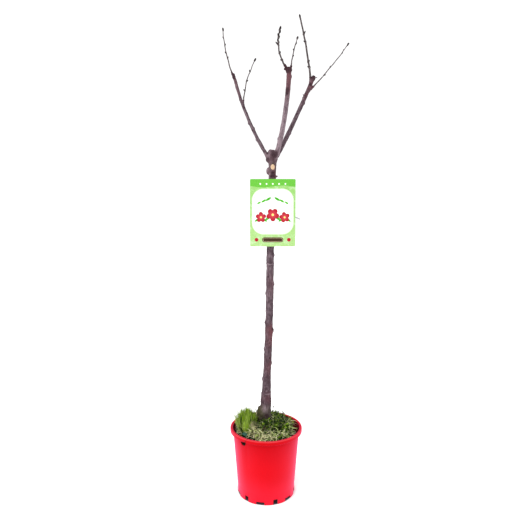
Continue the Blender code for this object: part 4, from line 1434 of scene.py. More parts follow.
# The tints of each kind of green: name, the two colours it is mixed from and the second one's share.
TINTS = {
    "tuft": (
        ("bright", "fresh", "straw", 0.16), ("fresh", "fresh", "fresh", 0), ("middle", "fresh", "dark", 0.5),
        ("deep", "fresh", "dark", 0.92), ("dry", "straw", "brown", 0.5), ("pale", "straw", "fresh", 0.5),
    ),
    "strand": (
        ("pale", "straw", "straw", 0), ("straw", "straw", "brown", 0.45), ("green", "straw", "fresh", 0.6),
        ("dark", "dark", "dark", 0), ("brown", "brown", "brown", 0),
    ),
    "leaf": (
        ("dark", "dark", "dark", 0), ("middle", "dark", "fresh", 0.25), ("light", "dark", "fresh", 0.62),
        ("blue", "blue", "blue", 0), ("pale", "dark", "straw", 0.52), ("seed_head", "brown", "dark", 0.7),
    ),
}


def leaf_finish(name, colour):
    """One plain tint of green or straw, with a faint mottle and grain."""
    tint = Finish(name, colour, 0.55, 0.1)
    place = tint.place()
    mottle = tint.noise(place, 190, 2)
    mottled = tint.blend(tint.rise(mottle, 0.3, 0.7), shaded(colour, 0.72), colour)
    return tint.dress(mottled, tint.bump(tint.noise(place, 900), 0.0002, 0.5))


def dealt(chance, weights):
    """A tint's number, dealt out by weight."""
    return chance.choices(range(len(weights)), weights)[0]


def cover_place(chance, reach):
    """A random place in the pot's mouth, clear of the label slot."""
    while True:
        out, turn = in_disc(chance, reach)
        x, y = out * cos(turn), out * sin(turn)
        if hypot(x - SLOT_PLACE.x, y - SLOT_PLACE.y) > SLOT_CLEARANCE:
            return x, y


def inside_mouth(point):
    """Moves a blade's point off the pot's wall and off the trunk."""
    reach = hypot(point.x, point.y)
    over_rim = min(1, max(0, (point.z - POT_HEIGHT) / 0.008))
    limit = COVER_REACH + RIM_OVERHANG * over_rim
    if reach > limit:
        point.x *= limit / reach
        point.y *= limit / reach
    near = Vector((point.x - TRUNK_FOOT.x, point.y - TRUNK_FOOT.y, 0))
    if near.length < TRUNK_CLEARANCE:
        point += near.normalized() * (TRUNK_CLEARANCE - near.length)
    return point


# A leaf's faces, three points to a row and one at the tip.
LEAF_FACES = ((0, 1, 4, 3), (1, 2, 5, 4), (3, 4, 7, 6), (4, 5, 8, 7), (6, 7, 9), (7, 8, 9))


class Foliage:
    """Points, faces and tints of many small blades or leaves that become one mesh."""

    def __init__(self):
        self.points, self.faces, self.tints = [], [], []

    def blade(self, foot, way, length, width, droop, tint, steps=4, drift=Vector((0, 0, 0))):
        """A narrow three-sided blade that bends down or aside as it grows."""
        start = len(self.points)
        across = way.cross(Vector((0, 0, 1)))
        across = across.normalized() if across.length > 0.01 else Vector((1, 0, 0))
        spot, heading_now = foot.copy(), way.normalized()
        for i in range(steps):
            size = width * (1 - 0.75 * i / steps) * 0.5
            keel = heading_now.cross(across).normalized() * size * 0.6
            self.points += [inside_mouth(spot + corner) for corner in (across * size, -across * size, keel)]
            spot = spot + heading_now * length / steps
            heading_now = (heading_now + Vector((0, 0, -droop / steps)) + drift / steps).normalized()
        self.points.append(inside_mouth(spot))
        for i in range(steps - 1):
            self.faces += ring_faces(start + 3 * i, start + 3 * (i + 1), 3)
        self.faces += tip_faces(start + 3 * (steps - 1), start + 3 * steps, 3)
        self.faces.append((start + 2, start + 1, start))
        self.tints += [tint] * (3 * steps + 1)

    def leaf(self, foot, way, up, length, width, tint):
        """A small leaf, folded a little along its rib."""
        start = len(self.points)
        side = way.cross(up).normalized()
        lift = side.cross(way).normalized()
        for share, wide in ((0, 0.05), (0.3, 0.85), (0.62, 0.9)):
            rib = foot + way * length * share + lift * length * 0.1 * sin(pi * share)
            edge = side * width * 0.5 * wide
            fold = lift * width * 0.12
            self.points += [inside_mouth(point) for point in (rib - edge + fold, rib, rib + edge + fold)]
        self.points.append(inside_mouth(foot + way * length))
        self.faces += shifted(LEAF_FACES, start)
        self.tints += [tint] * len(LEAF_FACES)

    def sprig(self, foot, way, length, leaves, size, tints, chance):
        """A thin weedy stem with small leaves on alternate sides and one at its tip."""
        way = way.normalized()
        self.blade(foot, way, length, 0.0011, 0.25, tints[0], 3)
        turn = any_turn(chance)
        for order in range(leaves):
            share = (order + 1) / leaves
            turn += GOLDEN_ANGLE
            out = (flat(turn, chance.uniform(0.15, 0.75)) + way * 0.9 * share).normalized()
            span = size * chance.uniform(0.7, 1.15)
            node = foot + way * length * share * 0.96
            self.leaf(node, out, Vector((0, 0, 1)), span, span * 0.45, chance.choice(tints))

    def lump(self, centre, radii, tint):
        """A small closed lump, such as a seed head."""
        points, faces = ball_shape(centre, radii, 2)
        self.faces += shifted(faces, len(self.points))
        self.points += points
        self.tints += [tint] * len(faces)

    def piece(self, name, looks, kind, slot, *nodes):
        finishes = [
            leaf_finish(f"{kind}_{tint}", mixed(getattr(looks, first), getattr(looks, second), share))
            for tint, first, second, share in TINTS[kind]
        ]
        made = mesh_piece(name, self.points, self.faces)
        hand_in(made, finishes, slot, *nodes)
        made.data.polygons.foreach_set("material_index", self.tints)
        made.data.update()
        smooth(made, 60)


TUFT_SHIFT = Vector((-0.006, 0.004, 0))  # how far the tuft's blades stand from the source's dome
TUFT_CLUMPS = 19
CLUMP_RADIUS = 0.0062
CLUMP_DROPS = (0, 0.2, 0.08)  # how much lower than its neighbour each clump is, in turn
BLADE_LENGTH = 0.076
TUFT_LEVELS = (0.52, 0.22, 0, -0.2)  # how bright a blade is at least for each tint before the dry one
# How often each tint is dealt out, in the order of the tints of its kind.
PALE_STRANDS = (66, 12, 22, 0, 0)
GREEN_STRANDS = (0, 10, 12, 62, 16)
RIGHT_LEAVES = (30, 26, 20, 3, 21)
OTHER_LEAVES = (46, 26, 12, 3, 13)
GRASS_BLADES = (3, 3, 2, 0, 2)
SPRIG_TINTS = ((0, 0, 0), (1, 2, 2), (4, 4, 2), (0, 1, 1))
SPRIG_WEIGHTS = (44, 20, 14, 22)
GRASS_SHARE = 0.42
BANK = ((0.042, 0.062), (0.042, 0.034, 0.033))  # more low green behind the trunk, on the right
MASSES = (*COVER.values(), BANK)
COVER_RISE = 0.03  # the most that a dome of strands and leaves starts above the soil
MOUND_RISE = 0.034  # how much higher the whole cover is at the trunk than at the wall
NECK = (0.012, 0.045)  # how much higher still it is round the trunk, and how far out that reaches
SLOT_PLACE = Vector((sin(SLOT_ANGLE), -cos(SLOT_ANGLE), 0)) * MOUTH_RADIUS
SLOT_CLEARANCE = 0.026
FRONT_REACH = 0.0915  # the strands keep this far in at the front, so that dark soil shows inside the rim
RIGHT_REACH = 0.087  # the greens keep this far in at the right, so that the pot's wall shows inside the rim
PALE_BUNCHES = 0.52  # the share of the bunches at the front and sides that are dry and pale
# Where weedy sprigs stand: middle and half-sizes in plan, how many, and how high their tops reach.
SPRIGS = (
    ((0.06, 0.004), (0.04, 0.05), 420, (0.22, 0.236)),
    ((0.036, 0.064), (0.05, 0.038), 780, (0.226, 0.24)),
    ((-0.04, 0.058), (0.054, 0.042), 460, (0.222, 0.237)),
    ((0.01, -0.034), (0.04, 0.018), 240, (0.222, 0.242)),
)
SHORTEST_STEM = 0.009
# Wispy stems that rise over the rest: foot in plan, lean, azimuth and length.
WISPS = (
    ((0.064, 0.048), 14, 10, 0.05), ((0.07, 0.042), 28, -5, 0.04), ((0.056, 0.056), 22, 60, 0.036),
    ((-0.086, -0.015), 24, 165, 0.036), ((-0.07, 0.02), 18, 130, 0.044), ((-0.078, -0.035), 38, 200, 0.03),
)
STALK_FOOT = Vector((0.0255, 0.048, 0.225))
STALK_LENGTH = 0.04
SEED_HEAD = (0.0024, 0.0024, 0.003)
TOWARDS_LABEL = Vector((0, -0.7, 0.7))  # the way that the broad leaves' faces are turned
# Broad leaves that lie on the cover: foot, way, length, width and tint.
BROAD_LEAVES = (
    ((-0.059, -0.076, 0.223), (-0.95, 0.12, 0.1), 0.022, 0.013, 3),
    ((0.06, -0.036, 0.23), (0.75, -0.5, 0.25), 0.011, 0.0055, 2),
    ((0.064, -0.024, 0.233), (0.8, 0.2, 0.4), 0.012, 0.006, 2),
    ((0.07, -0.042, 0.228), (0.2, -0.8, 0.45), 0.012, 0.0065, 1),
    ((0.054, -0.018, 0.235), (-0.3, -0.7, 0.5), 0.012, 0.006, 2),
    ((0.076, -0.012, 0.23), (0.5, -0.5, 0.6), 0.011, 0.006, 4),
)


def over_wall(x, y):
    """Whether a place is too near the wall on the right."""
    return x > 0.04 and y > -0.03 and hypot(x, y) > RIGHT_REACH


def cover_surface(x, y):
    """The matted cover's level: a low mound round the trunk, or the source's dome where that is higher."""
    reach = hypot(x, y)
    level = soil_height(reach) + 0.003
    level = max(level, SOIL_TOP + 0.001 + MOUND_RISE * (1 - (reach / COVER_REACH) ** 2))
    for (cx, cy), (rx, ry, rz) in MASSES:
        inside = 1 - ((x - cx) / rx) ** 2 - ((y - cy) / ry) ** 2
        if inside > 0:
            level = max(level, SOIL_TOP + min(rz, COVER_RISE) * sqrt(inside))
    return level + NECK[0] * gauss(reach, 0, NECK[1])


def build_cover_bed(looks):
    """A matted bed under the blades, dark with painted shade between them: a low lumpy mound for each mass and
    one for the whole.
    """
    mounds = []
    whole = ((0, 0), (0.108, 0.108, MOUND_RISE + 0.004))
    for middle, radii in (*MASSES, whole):
        low = (radii[0] * 0.88, radii[1] * 0.88, min(radii[2] * 0.82, COVER_RISE))
        mound = ball(Vector((*middle, SOIL_TOP - 0.003)), low, detail=5)
        for v in mound.data.vertices:
            v.co += v.normal * 0.0035 * noise.fractal(v.co * 95, 0.8, 2.1, 3)
        mounds.append(mound)
    bed = fuse("matted_bed", mounds)
    edit(bed)
    below = (0, 0, SOIL_TOP - 0.006)
    bpy.ops.mesh.bisect(plane_co=below, plane_no=(0, 0, 1), clear_inner=True, use_fill=True)
    leave_edit()
    smooth(bed)
    moss = Finish("matted_moss", looks.dark, 0.9, 0.2)
    place = moss.place()
    patch = moss.noise(place, 160, 4, 0.65)
    fibre = moss.noise(place, (700, 300, 900), 3, 0.6)
    lit = mixed(looks.dark, looks.fresh, 0.2)
    # The darkest stop is painted shade in the gaps between the blades.
    ground = moss.ramp(patch, [(0.44, shaded(looks.dark, 0.18)), (0.62, looks.dark), (0.78, lit)])
    threads = moss.rise(fibre, 0.62, 0.74) * 0.22
    colour = moss.blend(threads, ground, mixed(looks.dark, looks.straw, 0.35))
    relief = moss.bump(patch * 0.5 + fibre * 0.5, 0.002, 0.9)
    hand_in(bed, [moss.dress(colour, relief)], "dark_green")


def build_tuft(looks):
    """The bright tuft: clumps of blades, yellow on the left, deep green on the right and dry at the foot."""
    chance = random.Random(SEED + 1)
    (cx, cy), (rx, ry, rise) = COVER["green_tuft"]
    clumps = []
    for i in range(TUFT_CLUMPS):
        east, north = (c * 0.74 for c in sunflower(i, TUFT_CLUMPS, 0.4))
        front = max(0, -north - 0.3)
        middle = Vector((cx + rx * east, cy + ry * north, SOIL_TOP)) + TUFT_SHIFT
        tall = 1 - 0.3 * (east**2 + north**2) - 0.18 * max(0, east) - 0.6 * front - CLUMP_DROPS[i % 3]
        shade = chance.uniform(-0.5, 0.5) - 0.34 * east - 0.7 * front + 0.12
        clumps.append((middle, tall, shade))
    tuft = Foliage()
    for i in range(looks.blades + looks.fringe):
        wisp = i >= looks.blades
        middle, tall, shade = clumps[i % len(clumps)]
        turn, spread = any_turn(chance), sqrt(chance.random())
        out = flat(turn) * spread
        foot = middle + out * CLUMP_RADIUS + Vector((0, 0, rise * 0.5 * tall * (1 - 0.3 * spread)))
        lean = (middle - Vector((cx, cy, SOIL_TOP)) - TUFT_SHIFT) * 2.6
        way = out * chance.uniform(0.04, 0.3) + lean + Vector((-0.25 if wisp else 0, 0, 1))
        length = BLADE_LENGTH * tall * (chance.uniform(0.85, 1.08) if wisp else chance.uniform(0.62, 1))
        bright = 0.12 + 0.72 * chance.random() - 0.3 * spread + shade * 1.5
        tint = 5 if wisp else next((i for i, least in enumerate(TUFT_LEVELS) if bright > least), 4)
        droop = chance.uniform(0.15, 1.1) * (0.4 + spread)
        width = 0.0009 if wisp else chance.uniform(0.0018, 0.0044)
        tuft.blade(foot, way, length, width, droop, tint, 4)
    tuft.piece("tuft_blades", looks, "tuft", "fresh_green", "green_tuft")


def build_strands(looks):
    """Dry pale strands that lie in arcs over the cover, thickest at the front, and a few wispy stems."""
    chance = random.Random(SEED + 3)
    mat = Foliage()
    placed = 0
    while placed < looks.strands:
        x, y = cover_place(chance, 0.101)
        frontal = 1 if y < -0.035 else 0.8 if x < -0.06 else 0.3
        if chance.random() > frontal or (y < 0 and hypot(x, y) > FRONT_REACH) or over_wall(x, y):
            continue
        swing = any_turn(chance)
        drift = Vector((chance.uniform(-1, 1), chance.uniform(-1, 1), 0)) * 2
        pale = chance.random() < (PALE_BUNCHES if y < -0.055 or abs(x + 0.008) > 0.06 else 0.1)
        raised = chance.uniform(0, 0.02) if x < -0.028 and y < -0.045 else 0
        for _ in range(chance.choice((3, 4, 5, 6))):
            placed += 1
            side = flat(swing + 1.57) * chance.uniform(-0.0045, 0.0045)
            foot = Vector((x, y, cover_surface(x, y) - 0.003 + raised + chance.uniform(0, 0.006))) + side
            turn = swing + chance.uniform(-0.45, 0.45)
            way = Vector((cos(turn), sin(turn) * 0.6, chance.uniform(0.05, 0.75)))
            tint = dealt(chance, PALE_STRANDS if pale else GREEN_STRANDS)
            width = chance.uniform(0.0016, 0.0042 if pale else 0.0026)
            length = chance.uniform(0.013, 0.038)
            mat.blade(foot, way, length, width, chance.uniform(0.7, 2), tint, 6, drift)
    for (x, y), lean, azimuth, length in WISPS:
        foot = Vector((x, y, cover_surface(x, y)))
        mat.blade(foot, heading(lean, azimuth), length, 0.0019, 0.2, 4, 8)
    mat.piece("dry_strands", looks, "strand", "pale_straw", "cover_front", "cover_back")


def build_leaves(looks):
    """Small dark leaves, grass and weedy sprigs between the strands, broad leaves and a seed stalk."""
    chance = random.Random(SEED + 4)
    up = Vector((0, 0, 1))
    green = Foliage()
    for _ in range(looks.leaves):
        x, y = cover_place(chance, 0.099)
        if over_wall(x, y):
            continue
        foot = Vector((x, y, cover_surface(x, y) - 0.002 + chance.uniform(0, 0.006)))
        way = flat(any_turn(chance), chance.uniform(0, 0.9)).normalized()
        length = chance.uniform(0.0045, 0.0105)
        tint = dealt(chance, RIGHT_LEAVES if x > 0.03 else OTHER_LEAVES)
        green.leaf(foot, way, up, length, length * chance.uniform(0.3, 0.55), tint)
    for (cx, cy), (rx, ry), count, (low, high) in SPRIGS:
        for i in range(count):
            east, north = sunflower(i, count)
            x, y = cx + rx * east, cy + ry * north
            if hypot(x, y) > COVER_REACH - 0.004 or over_wall(x, y):
                continue
            foot = Vector((x, y, cover_surface(x, y) - 0.004))
            way = Vector((chance.uniform(-0.5, 0.5), chance.uniform(-0.5, 0.5), 1))
            stem = max(chance.uniform(low, high) - foot.z, SHORTEST_STEM * chance.uniform(1, 1.5))
            if chance.random() < GRASS_SHARE:
                width = chance.uniform(0.0012, 0.0022)
                green.blade(foot, way, stem * 1.25, width, 1, dealt(chance, GRASS_BLADES))
                continue
            tints = SPRIG_TINTS[dealt(chance, SPRIG_WEIGHTS)]
            size = chance.uniform(0.005, 0.0085)
            green.sprig(foot, way, stem, chance.choice((6, 7, 8)), size, tints, chance)
    for foot, way, length, width, tint in BROAD_LEAVES:
        green.leaf(Vector(foot), Vector(way).normalized(), TOWARDS_LABEL, length, width, tint)
    green.blade(STALK_FOOT, Vector((0.02, 0.05, 1)), STALK_LENGTH, 0.0011, 0, 5, 4)
    green.lump(STALK_FOOT + Vector((0.0008, 0.002, STALK_LENGTH)), SEED_HEAD, 5)
    green.piece("small_leaves", looks, "leaf", "dark_green", "cover_right")


# The label

def label_finish(looks):
    """The card's print in millimetres from its middle: bands, a white panel and a row of blossoms."""
    card = Finish("label_print", looks.field, 0.3, 0.2)
    split = card.node("UVMap", {"uv_map": "print"})
    x, y = ((card.part(split, axis) - 0.5) * (size * 1000) for axis, size in zip("XY", CARD_SIZE))

    def inside(distance):
        return 1 - card.rise(distance, -0.35, 0.35)

    def far(across, up):
        return (across**2 + up**2) ** 0.5

    def box(cx, cy, half_x, half_y, corner):
        dx, dy = abs(x - cx) - (half_x - corner), abs(y - cy) - (half_y - corner)
        return far(dx.higher(0), dy.higher(0)) + dx.higher(dy).lower(0) - corner

    def round_spot(cx, cy, radius):
        return far(x - cx, y - cy) - radius

    def leaf(cx, cy, length, width, angle):
        """The overlap of two discs: a pointed leaf along an angle."""
        turn = radians(angle)
        along = (x - cx) * cos(turn) + (y - cy) * sin(turn)
        across = (y - cy) * cos(turn) - (x - cx) * sin(turn)
        radius = (length**2 + width**2) / (4 * width)
        shift = radius - width / 2
        return far(along, across + shift).higher(far(along, across - shift)) - radius

    def blossom(cx, cy, size, turn):
        """Five round petals: the distance to the nearest one, by folding the plane in five."""
        dx, dy = x - cx, y - cy
        angle = dy.angle(dx) + turn
        reach = far(dx, dy)
        fold = (angle % (tau / 5)) - pi / 5
        return far(reach * fold.cosine() - size * 0.56, reach * fold.sine() * 1.12) - size * 0.44

    grain = card.noise(card.node("CombineXYZ", {}, (x * 0.07, y * 0.07, 0)), 1, 3, 0.55)
    colour = card.blend(card.rise(y, -100, 60), looks.field, mixed(looks.field, looks.band, 0.35))
    colour = card.blend(card.rise(grain, 0.45, 0.7) * 0.35, colour, mixed(looks.field, (1, 1, 1), 0.5))

    def ink(shape, tint):
        nonlocal colour
        colour = card.blend(inside(shape), colour, tint)

    ink(84 - y + 3 * (x * 0.05).sine(), looks.band)
    panel = box(0, 4, 64, 70, 34)
    ink(panel - 3, mixed(looks.field, (1, 1, 1), 0.45))
    ink(panel, (0.93, 0.95, 0.9))
    ink(abs(panel + 4) - 0.5, looks.leaf)
    for side in (-1, 1):
        for step in range(3):
            tip = leaf(side * (14 + step * 15), 44 - step * 6, 22 - step * 3, 8 - step, side * -32)
            ink(tip, mixed(looks.leaf, looks.band, step / 3))
    for cx, cy, size, turn in ((-38, -14, 17, 0.3), (0, -6, 21, 0.9), (38, -14, 17, 0.1)):
        for angle in (215, 325):
            way = radians(angle)
            middle = (cx + size * 0.9 * cos(way), cy + size * 0.9 * sin(way))
            ink(leaf(*middle, size * 1.1, size * 0.42, angle), looks.leaf)
        petals = blossom(cx, cy, size, turn)
        heart = round_spot(cx, cy, size * 0.62)
        rosy = card.blend(card.rise(heart, -size * 0.45, size * 0.35), (0.5, 0.045, 0.06), looks.petal)
        ink(petals, rosy)
        colour = card.blend(inside(abs(petals) - 0.35) * 0.6, colour, (0.11, 0, 0.008))
        ink(round_spot(cx, cy, size * 0.19), (0.95, 0.7, 0.2))
    for order in range(5):
        ink(round_spot(-40 + order * 20, 92, 2.6), (0.93, 0.96, 0.88))
    ink(box(0, -86, 34, 8, 8), looks.bar)
    ink(abs(box(0, -86, 31, 5.6, 5.6)) - 0.4, (0.6, 0.5, 0.3))
    for side in (-1, 1):
        ink(round_spot(side * 52, -86, 6), looks.petal)
    skin = card.noise(card.place(), 700)
    return card.dress(colour, card.bump(skin, 0.0001, 0.3), 0.26 + skin * 0.1)


def card_back_finish(looks):
    tint = mixed(looks.field, (0.85, 0.85, 0.82), 0.85)
    back = Finish("label_back", tint, 0.45)
    fleck = back.noise(back.place(), 420, 3)
    colour = back.blend(back.rise(fleck, 0.35, 0.7), shaded(tint, 0.94), tint)
    return back.dress(colour, back.bump(fleck, 0.0001, 0.4))


def build_card(looks):
    """The label card: a plane with rounded corners, cut into strips, bowed and given its thickness."""
    width, height = CARD_SIZE
    bpy.ops.mesh.primitive_plane_add(size=1)
    card = named("label_card_print")
    card.scale = (width, height, 1)
    card.rotation_euler = (radians(90), 0, 0)
    settle(card)
    edit(card)
    bpy.ops.mesh.bevel(offset=looks.corner, segments=5, affect="VERTICES")
    strips = 28
    for i in range(1, strips):
        bpy.ops.mesh.select_all(action="SELECT")
        bpy.ops.mesh.bisect(plane_co=(width * (i / strips - 0.5), 0, 0), plane_no=(1, 0, 0))
    leave_edit()
    prints = card.data.uv_layers.new(name="print")
    for loop in card.data.loops:
        co = card.data.vertices[loop.vertex_index].co
        prints.data[loop.index].uv = (co.x / width + 0.5, co.z / height + 0.5)
    for v in card.data.vertices:
        curl = 0.0006 * sin(v.co.z / height * 5 + 0.8)
        across = v.co.x / width
        v.co = CARD_CENTRE + Vector((v.co.x, CARD_BOW * (across * 2) ** 2 + curl * across, v.co.z))
    add_modifier(card, "SOLIDIFY", thickness=CARD_THICKNESS, offset=0)
    smooth(card, 35)
    hand_in(card, [label_finish(looks), card_back_finish(looks)], "label_green", "label_card")
    for face in card.data.polygons:
        face.material_index = int(face.normal.y >= -0.5)
    card.data.update()


def band(name, route):
    """A flat band that stands on edge along a route, with rounded edges."""
    low = [point - Vector((0, 0, STRAP_WIDTH / 2)) for point in route]
    piece = line_piece(name, low)
    edit(piece)
    bpy.ops.mesh.extrude_region_move(TRANSFORM_OT_translate={"value": (0, 0, STRAP_WIDTH)})
    leave_edit()
    add_modifier(piece, "SOLIDIFY", thickness=STRAP_THICKNESS, offset=0)
    return bevel(piece, 0.0002, 2)


def build_strap(looks):
    """The strap round the trunk with its lock head and drooping tail, and the pad that holds the card."""
    centre = trunk_centre(STRAP_HEIGHT)
    radius = trunk_radius(STRAP_HEIGHT) + STRAP_CLEARANCE + STRAP_THICKNESS / 2
    start, sweep, turns = radians(-76), radians(332), 72
    angles = [start + sweep * i / turns for i in range(turns + 1)]
    ring = [centre + Vector((cos(angle) * radius, sin(angle) * radius, 0)) for angle in angles]
    head_centre = centre + Vector((0, -radius - 0.002, 0))
    shares = [i / 40 for i in range(41)]
    tail = [head_centre + Vector((s * STRAP_TAIL, 0.001 * s, -STRAP_DROOP * s**3)) for s in shares]
    head = block("strap_head", STRAP_HEAD, head_centre)
    edit(head)
    select_faces(head, lambda normal: abs(normal.x) > 0.9)
    bpy.ops.mesh.inset(thickness=0.0009, depth=-0.0006)
    leave_edit()
    bevel(head, 0.0004, 3)
    strap = fuse("strap", [band("strap_ring", ring), band("strap_tail", tail), head])
    smooth(strap, 40)
    clear = Finish("clear_strap", looks.strap, 0.28, 0.5)
    place = clear.place()
    ribs = clear.node("TexWave", {"bands_direction": "X"}, {"Vector": place, "Scale": 420})
    cloud = clear.noise(place, 300, 2)
    milky = clear.blend(clear.rise(cloud, 0.3, 0.7), shaded(looks.strap, 0.82), looks.strap)
    hand_in(strap, [clear.dress(milky, clear.bump(ribs, 0.0002, 0.5))], "clear_strap", "label_strap")
    low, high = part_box("label_pad")
    pad = block("foam_pad", high - low, (low + high) / 2)
    bevel(pad, 0.0004, 3)
    smooth(pad, 40)
    foam = Finish("white_foam", (0.8, 0.8, 0.79), 0.85)
    cells = foam.cells(foam.place(), 1400)
    white = foam.blend(foam.rise(cells, 0.1, 0.6), (0.84, 0.84, 0.83), (0.7, 0.7, 0.69))
    hand_in(pad, [foam.dress(white, foam.bump(cells, 0.0003, 0.6))], "white_foam", "label_pad")


# The stage

# Soft area lights: name, place, size, power and how warm it is.
LIGHTS = (
    ("key_left", (-1.9, -0.8, 1.5), 1.3, 15, (1, 0.99, 0.97)),
    ("rim_right", (1.9, -0.2, 0.8), 1.3, 13, (0.98, 0.97, 1)),
)
LIGHTS_AIM = Vector((0, 0, 0.7))
SUN_FROM = Vector((-0.2, -0.42, 0.86))
SUN_SPREAD = radians(65)


def build_surround(looks):
    """A white backdrop, and a softer even light for what stands in front of it."""
    world = bpy.data.worlds.new("bright_surround")
    world.use_nodes = True
    nodes, links = world.node_tree.nodes, world.node_tree.links
    even = nodes["Background"]
    backdrop = nodes.new("ShaderNodeBackground")
    for shader, strength in ((even, looks.even), (backdrop, looks.backdrop)):
        shader.inputs["Color"].default_value = (1, 1, 1, 1)
        shader.inputs["Strength"].default_value = strength
    choice = nodes.new("ShaderNodeMixShader")
    rays = nodes.new("ShaderNodeLightPath")
    links.new(rays.outputs["Is Camera Ray"], choice.inputs[0])
    links.new(even.outputs[0], choice.inputs[1])
    links.new(backdrop.outputs[0], choice.inputs[2])
    links.new(choice.outputs[0], nodes["World Output"].inputs["Surface"])
    bpy.context.scene.world = world


def facing(direction):
    """The turn of a light that shines along a direction."""
    return direction.to_track_quat("-Z", "Y").to_euler()


def build_stage(looks):
    """A plain pale floor with a painted shadow under the pot, a bright surround, soft lights and the camera.
    """
    scene = bpy.context.scene
    bpy.ops.mesh.primitive_plane_add(size=80)
    floor = named("floor")
    pale = Finish("pale_floor", looks.floor, 0.9, 0, {"Emission Strength": looks.glow})
    place = pale.place()
    reach = pale.length(place)
    # Painted shadow: the floor gives off no glow under the pot.
    open_floor = pale.rise(reach, FOOT_RADIUS, FOOT_RADIUS * 1.1)
    pale.wear("Emission Color", pale.blend(open_floor, (0.05, 0.04, 0.05), (1, 1, 1)))
    cloud = pale.noise(place, 3, 2)
    plain = pale.blend(cloud, shaded(looks.floor, 0.985), looks.floor)
    # Painted shadow: the floor is dark right under the pot.
    beside_pot = pale.rise(reach, FOOT_RADIUS * 0.97, FOOT_RADIUS)
    pale.wear("Base Color", pale.blend(beside_pot, (0.1, 0.08, 0.09), plain))
    floor.data.materials.append(pale.material)
    floor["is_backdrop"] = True
    build_surround(looks)
    bpy.ops.object.light_add(type="SUN", location=SUN_FROM * 3)
    sun = named("soft_sun")
    sun.data.energy = looks.sun
    sun.data.angle = SUN_SPREAD
    sun.rotation_euler = facing(-SUN_FROM)
    for name, place, size, power, colour in LIGHTS:
        bpy.ops.object.light_add(type="AREA", location=place)
        light = named(name)
        light.data.size = size
        light.data.energy = power
        light.data.color = colour
        light.rotation_euler = facing(LIGHTS_AIM - light.location)
    pitch = radians(90) - looks.camera_pitch
    bpy.ops.object.camera_add(location=looks.camera_place, rotation=(pitch, 0, 0))
    camera = named("camera")
    camera.data.lens = looks.lens
    camera.data.clip_start = 0.01
    scene.camera = camera
    scene.view_settings.view_transform = "Standard"
    scene.view_settings.look = "None"


class BuildPiece:
    """What the operators share: they build their pieces from one group of looks."""

    bl_options = {"REGISTER", "UNDO"}

    def build(self, context, group, *makers):
        for make in makers:
            make(getattr(context.scene, "potted_tree_" + group))
        return {"FINISHED"}


class POTTED_OT_pot(BuildPiece, bpy.types.Operator):
    """Build the red nursery pot with its rolled lip, drain cuts and label slot"""

    bl_idname = "potted_tree.pot"
    bl_label = "Nursery pot"

    def execute(self, context):
        return self.build(context, "pot", build_pot)


class POTTED_OT_soil(BuildPiece, bpy.types.Operator):
    """Build the crumbly soil in the pot"""

    bl_idname = "potted_tree.soil"
    bl_label = "Soil"

    def execute(self, context):
        return self.build(context, "soil", build_soil)


class POTTED_OT_bark(BuildPiece, bpy.types.Operator):
    """Build the trunk and boughs as one skin with the bark's relief, and their pruning cuts"""

    bl_idname = "potted_tree.bark"
    bl_label = "Trunk and boughs"

    def execute(self, context):
        return self.build(context, "bark", build_bark)


class POTTED_OT_shoots(BuildPiece, bpy.types.Operator):
    """Build the thin shoots with their spurs and ring scars"""

    bl_idname = "potted_tree.shoots"
    bl_label = "Shoots"

    def execute(self, context):
        return self.build(context, "shoots", build_shoots)


class POTTED_OT_buds(BuildPiece, bpy.types.Operator):
    """Build the scaled winter buds on the shoots"""

    bl_idname = "potted_tree.buds"
    bl_label = "Winter buds"

    def execute(self, context):
        return self.build(context, "shoots", build_buds)


class POTTED_OT_cover(BuildPiece, bpy.types.Operator):
    """Build the low green cover: matted bed, bright tuft, dry strands and small leaves"""

    bl_idname = "potted_tree.cover"
    bl_label = "Green cover"

    def execute(self, context):
        return self.build(context, "cover", build_cover_bed, build_tuft, build_strands, build_leaves)


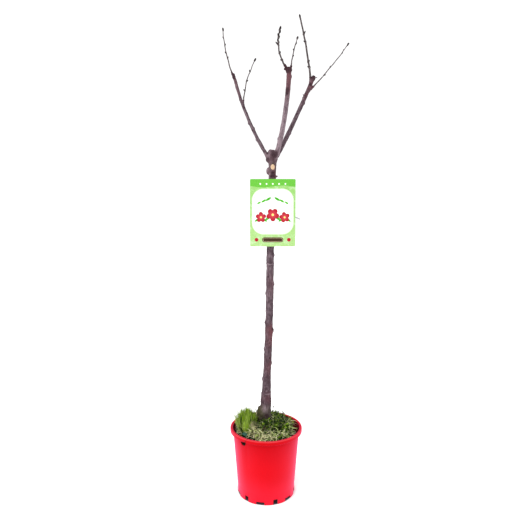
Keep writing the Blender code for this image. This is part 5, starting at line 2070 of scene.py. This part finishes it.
class POTTED_OT_card(BuildPiece, bpy.types.Operator):
    """Build the bowed label card with its printed flowers"""

    bl_idname = "potted_tree.card"
    bl_label = "Label card"

    def execute(self, context):
        return self.build(context, "label", build_card)


class POTTED_OT_strap(BuildPiece, bpy.types.Operator):
    """Build the strap that ties the label to the trunk, and its pad"""

    bl_idname = "potted_tree.strap"
    bl_label = "Strap and pad"

    def execute(self, context):
        return self.build(context, "label", build_strap)


class POTTED_OT_stage(BuildPiece, bpy.types.Operator):
    """Build the pale floor, the soft light and the camera"""

    bl_idname = "potted_tree.stage"
    bl_label = "Stage"

    def execute(self, context):
        return self.build(context, "stage", build_stage)


OPERATORS = (
    POTTED_OT_pot, POTTED_OT_soil, POTTED_OT_bark, POTTED_OT_shoots, POTTED_OT_buds, POTTED_OT_cover,
    POTTED_OT_card, POTTED_OT_strap, POTTED_OT_stage,
)
GROUPS = {
    "pot": PotLooks, "soil": SoilLooks, "bark": BarkLooks, "shoots": ShootLooks, "cover": CoverLooks,
    "label": LabelLooks, "stage": StageLooks,
}


class POTTED_PT_pieces(bpy.types.Panel):
    """Lists the pieces in the order in which they are built"""

    bl_idname = "POTTED_PT_pieces"
    bl_label = "Potted Tree"
    bl_space_type = "VIEW_3D"
    bl_region_type = "UI"
    bl_category = "Potted Tree"

    def draw(self, context):
        for operator in OPERATORS:
            self.layout.operator(operator.bl_idname)


CLASSES = (*GROUPS.values(), *OPERATORS, POTTED_PT_pieces)


def register():
    for kind in CLASSES:
        bpy.utils.register_class(kind)
    for name, group in GROUPS.items():
        setattr(bpy.types.Scene, "potted_tree_" + name, PointerProperty(type=group))


def unregister():
    for name in GROUPS:
        delattr(bpy.types.Scene, "potted_tree_" + name)
    for kind in reversed(CLASSES):
        bpy.utils.unregister_class(kind)


def main():
    register()
    for operator in OPERATORS:
        getattr(bpy.ops.potted_tree, operator.bl_idname.split(".")[1])()
    [[list(corner) for corner in box] for box in (PACKED_BOUNDS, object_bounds())]


if __name__ == "__main__":
    main()
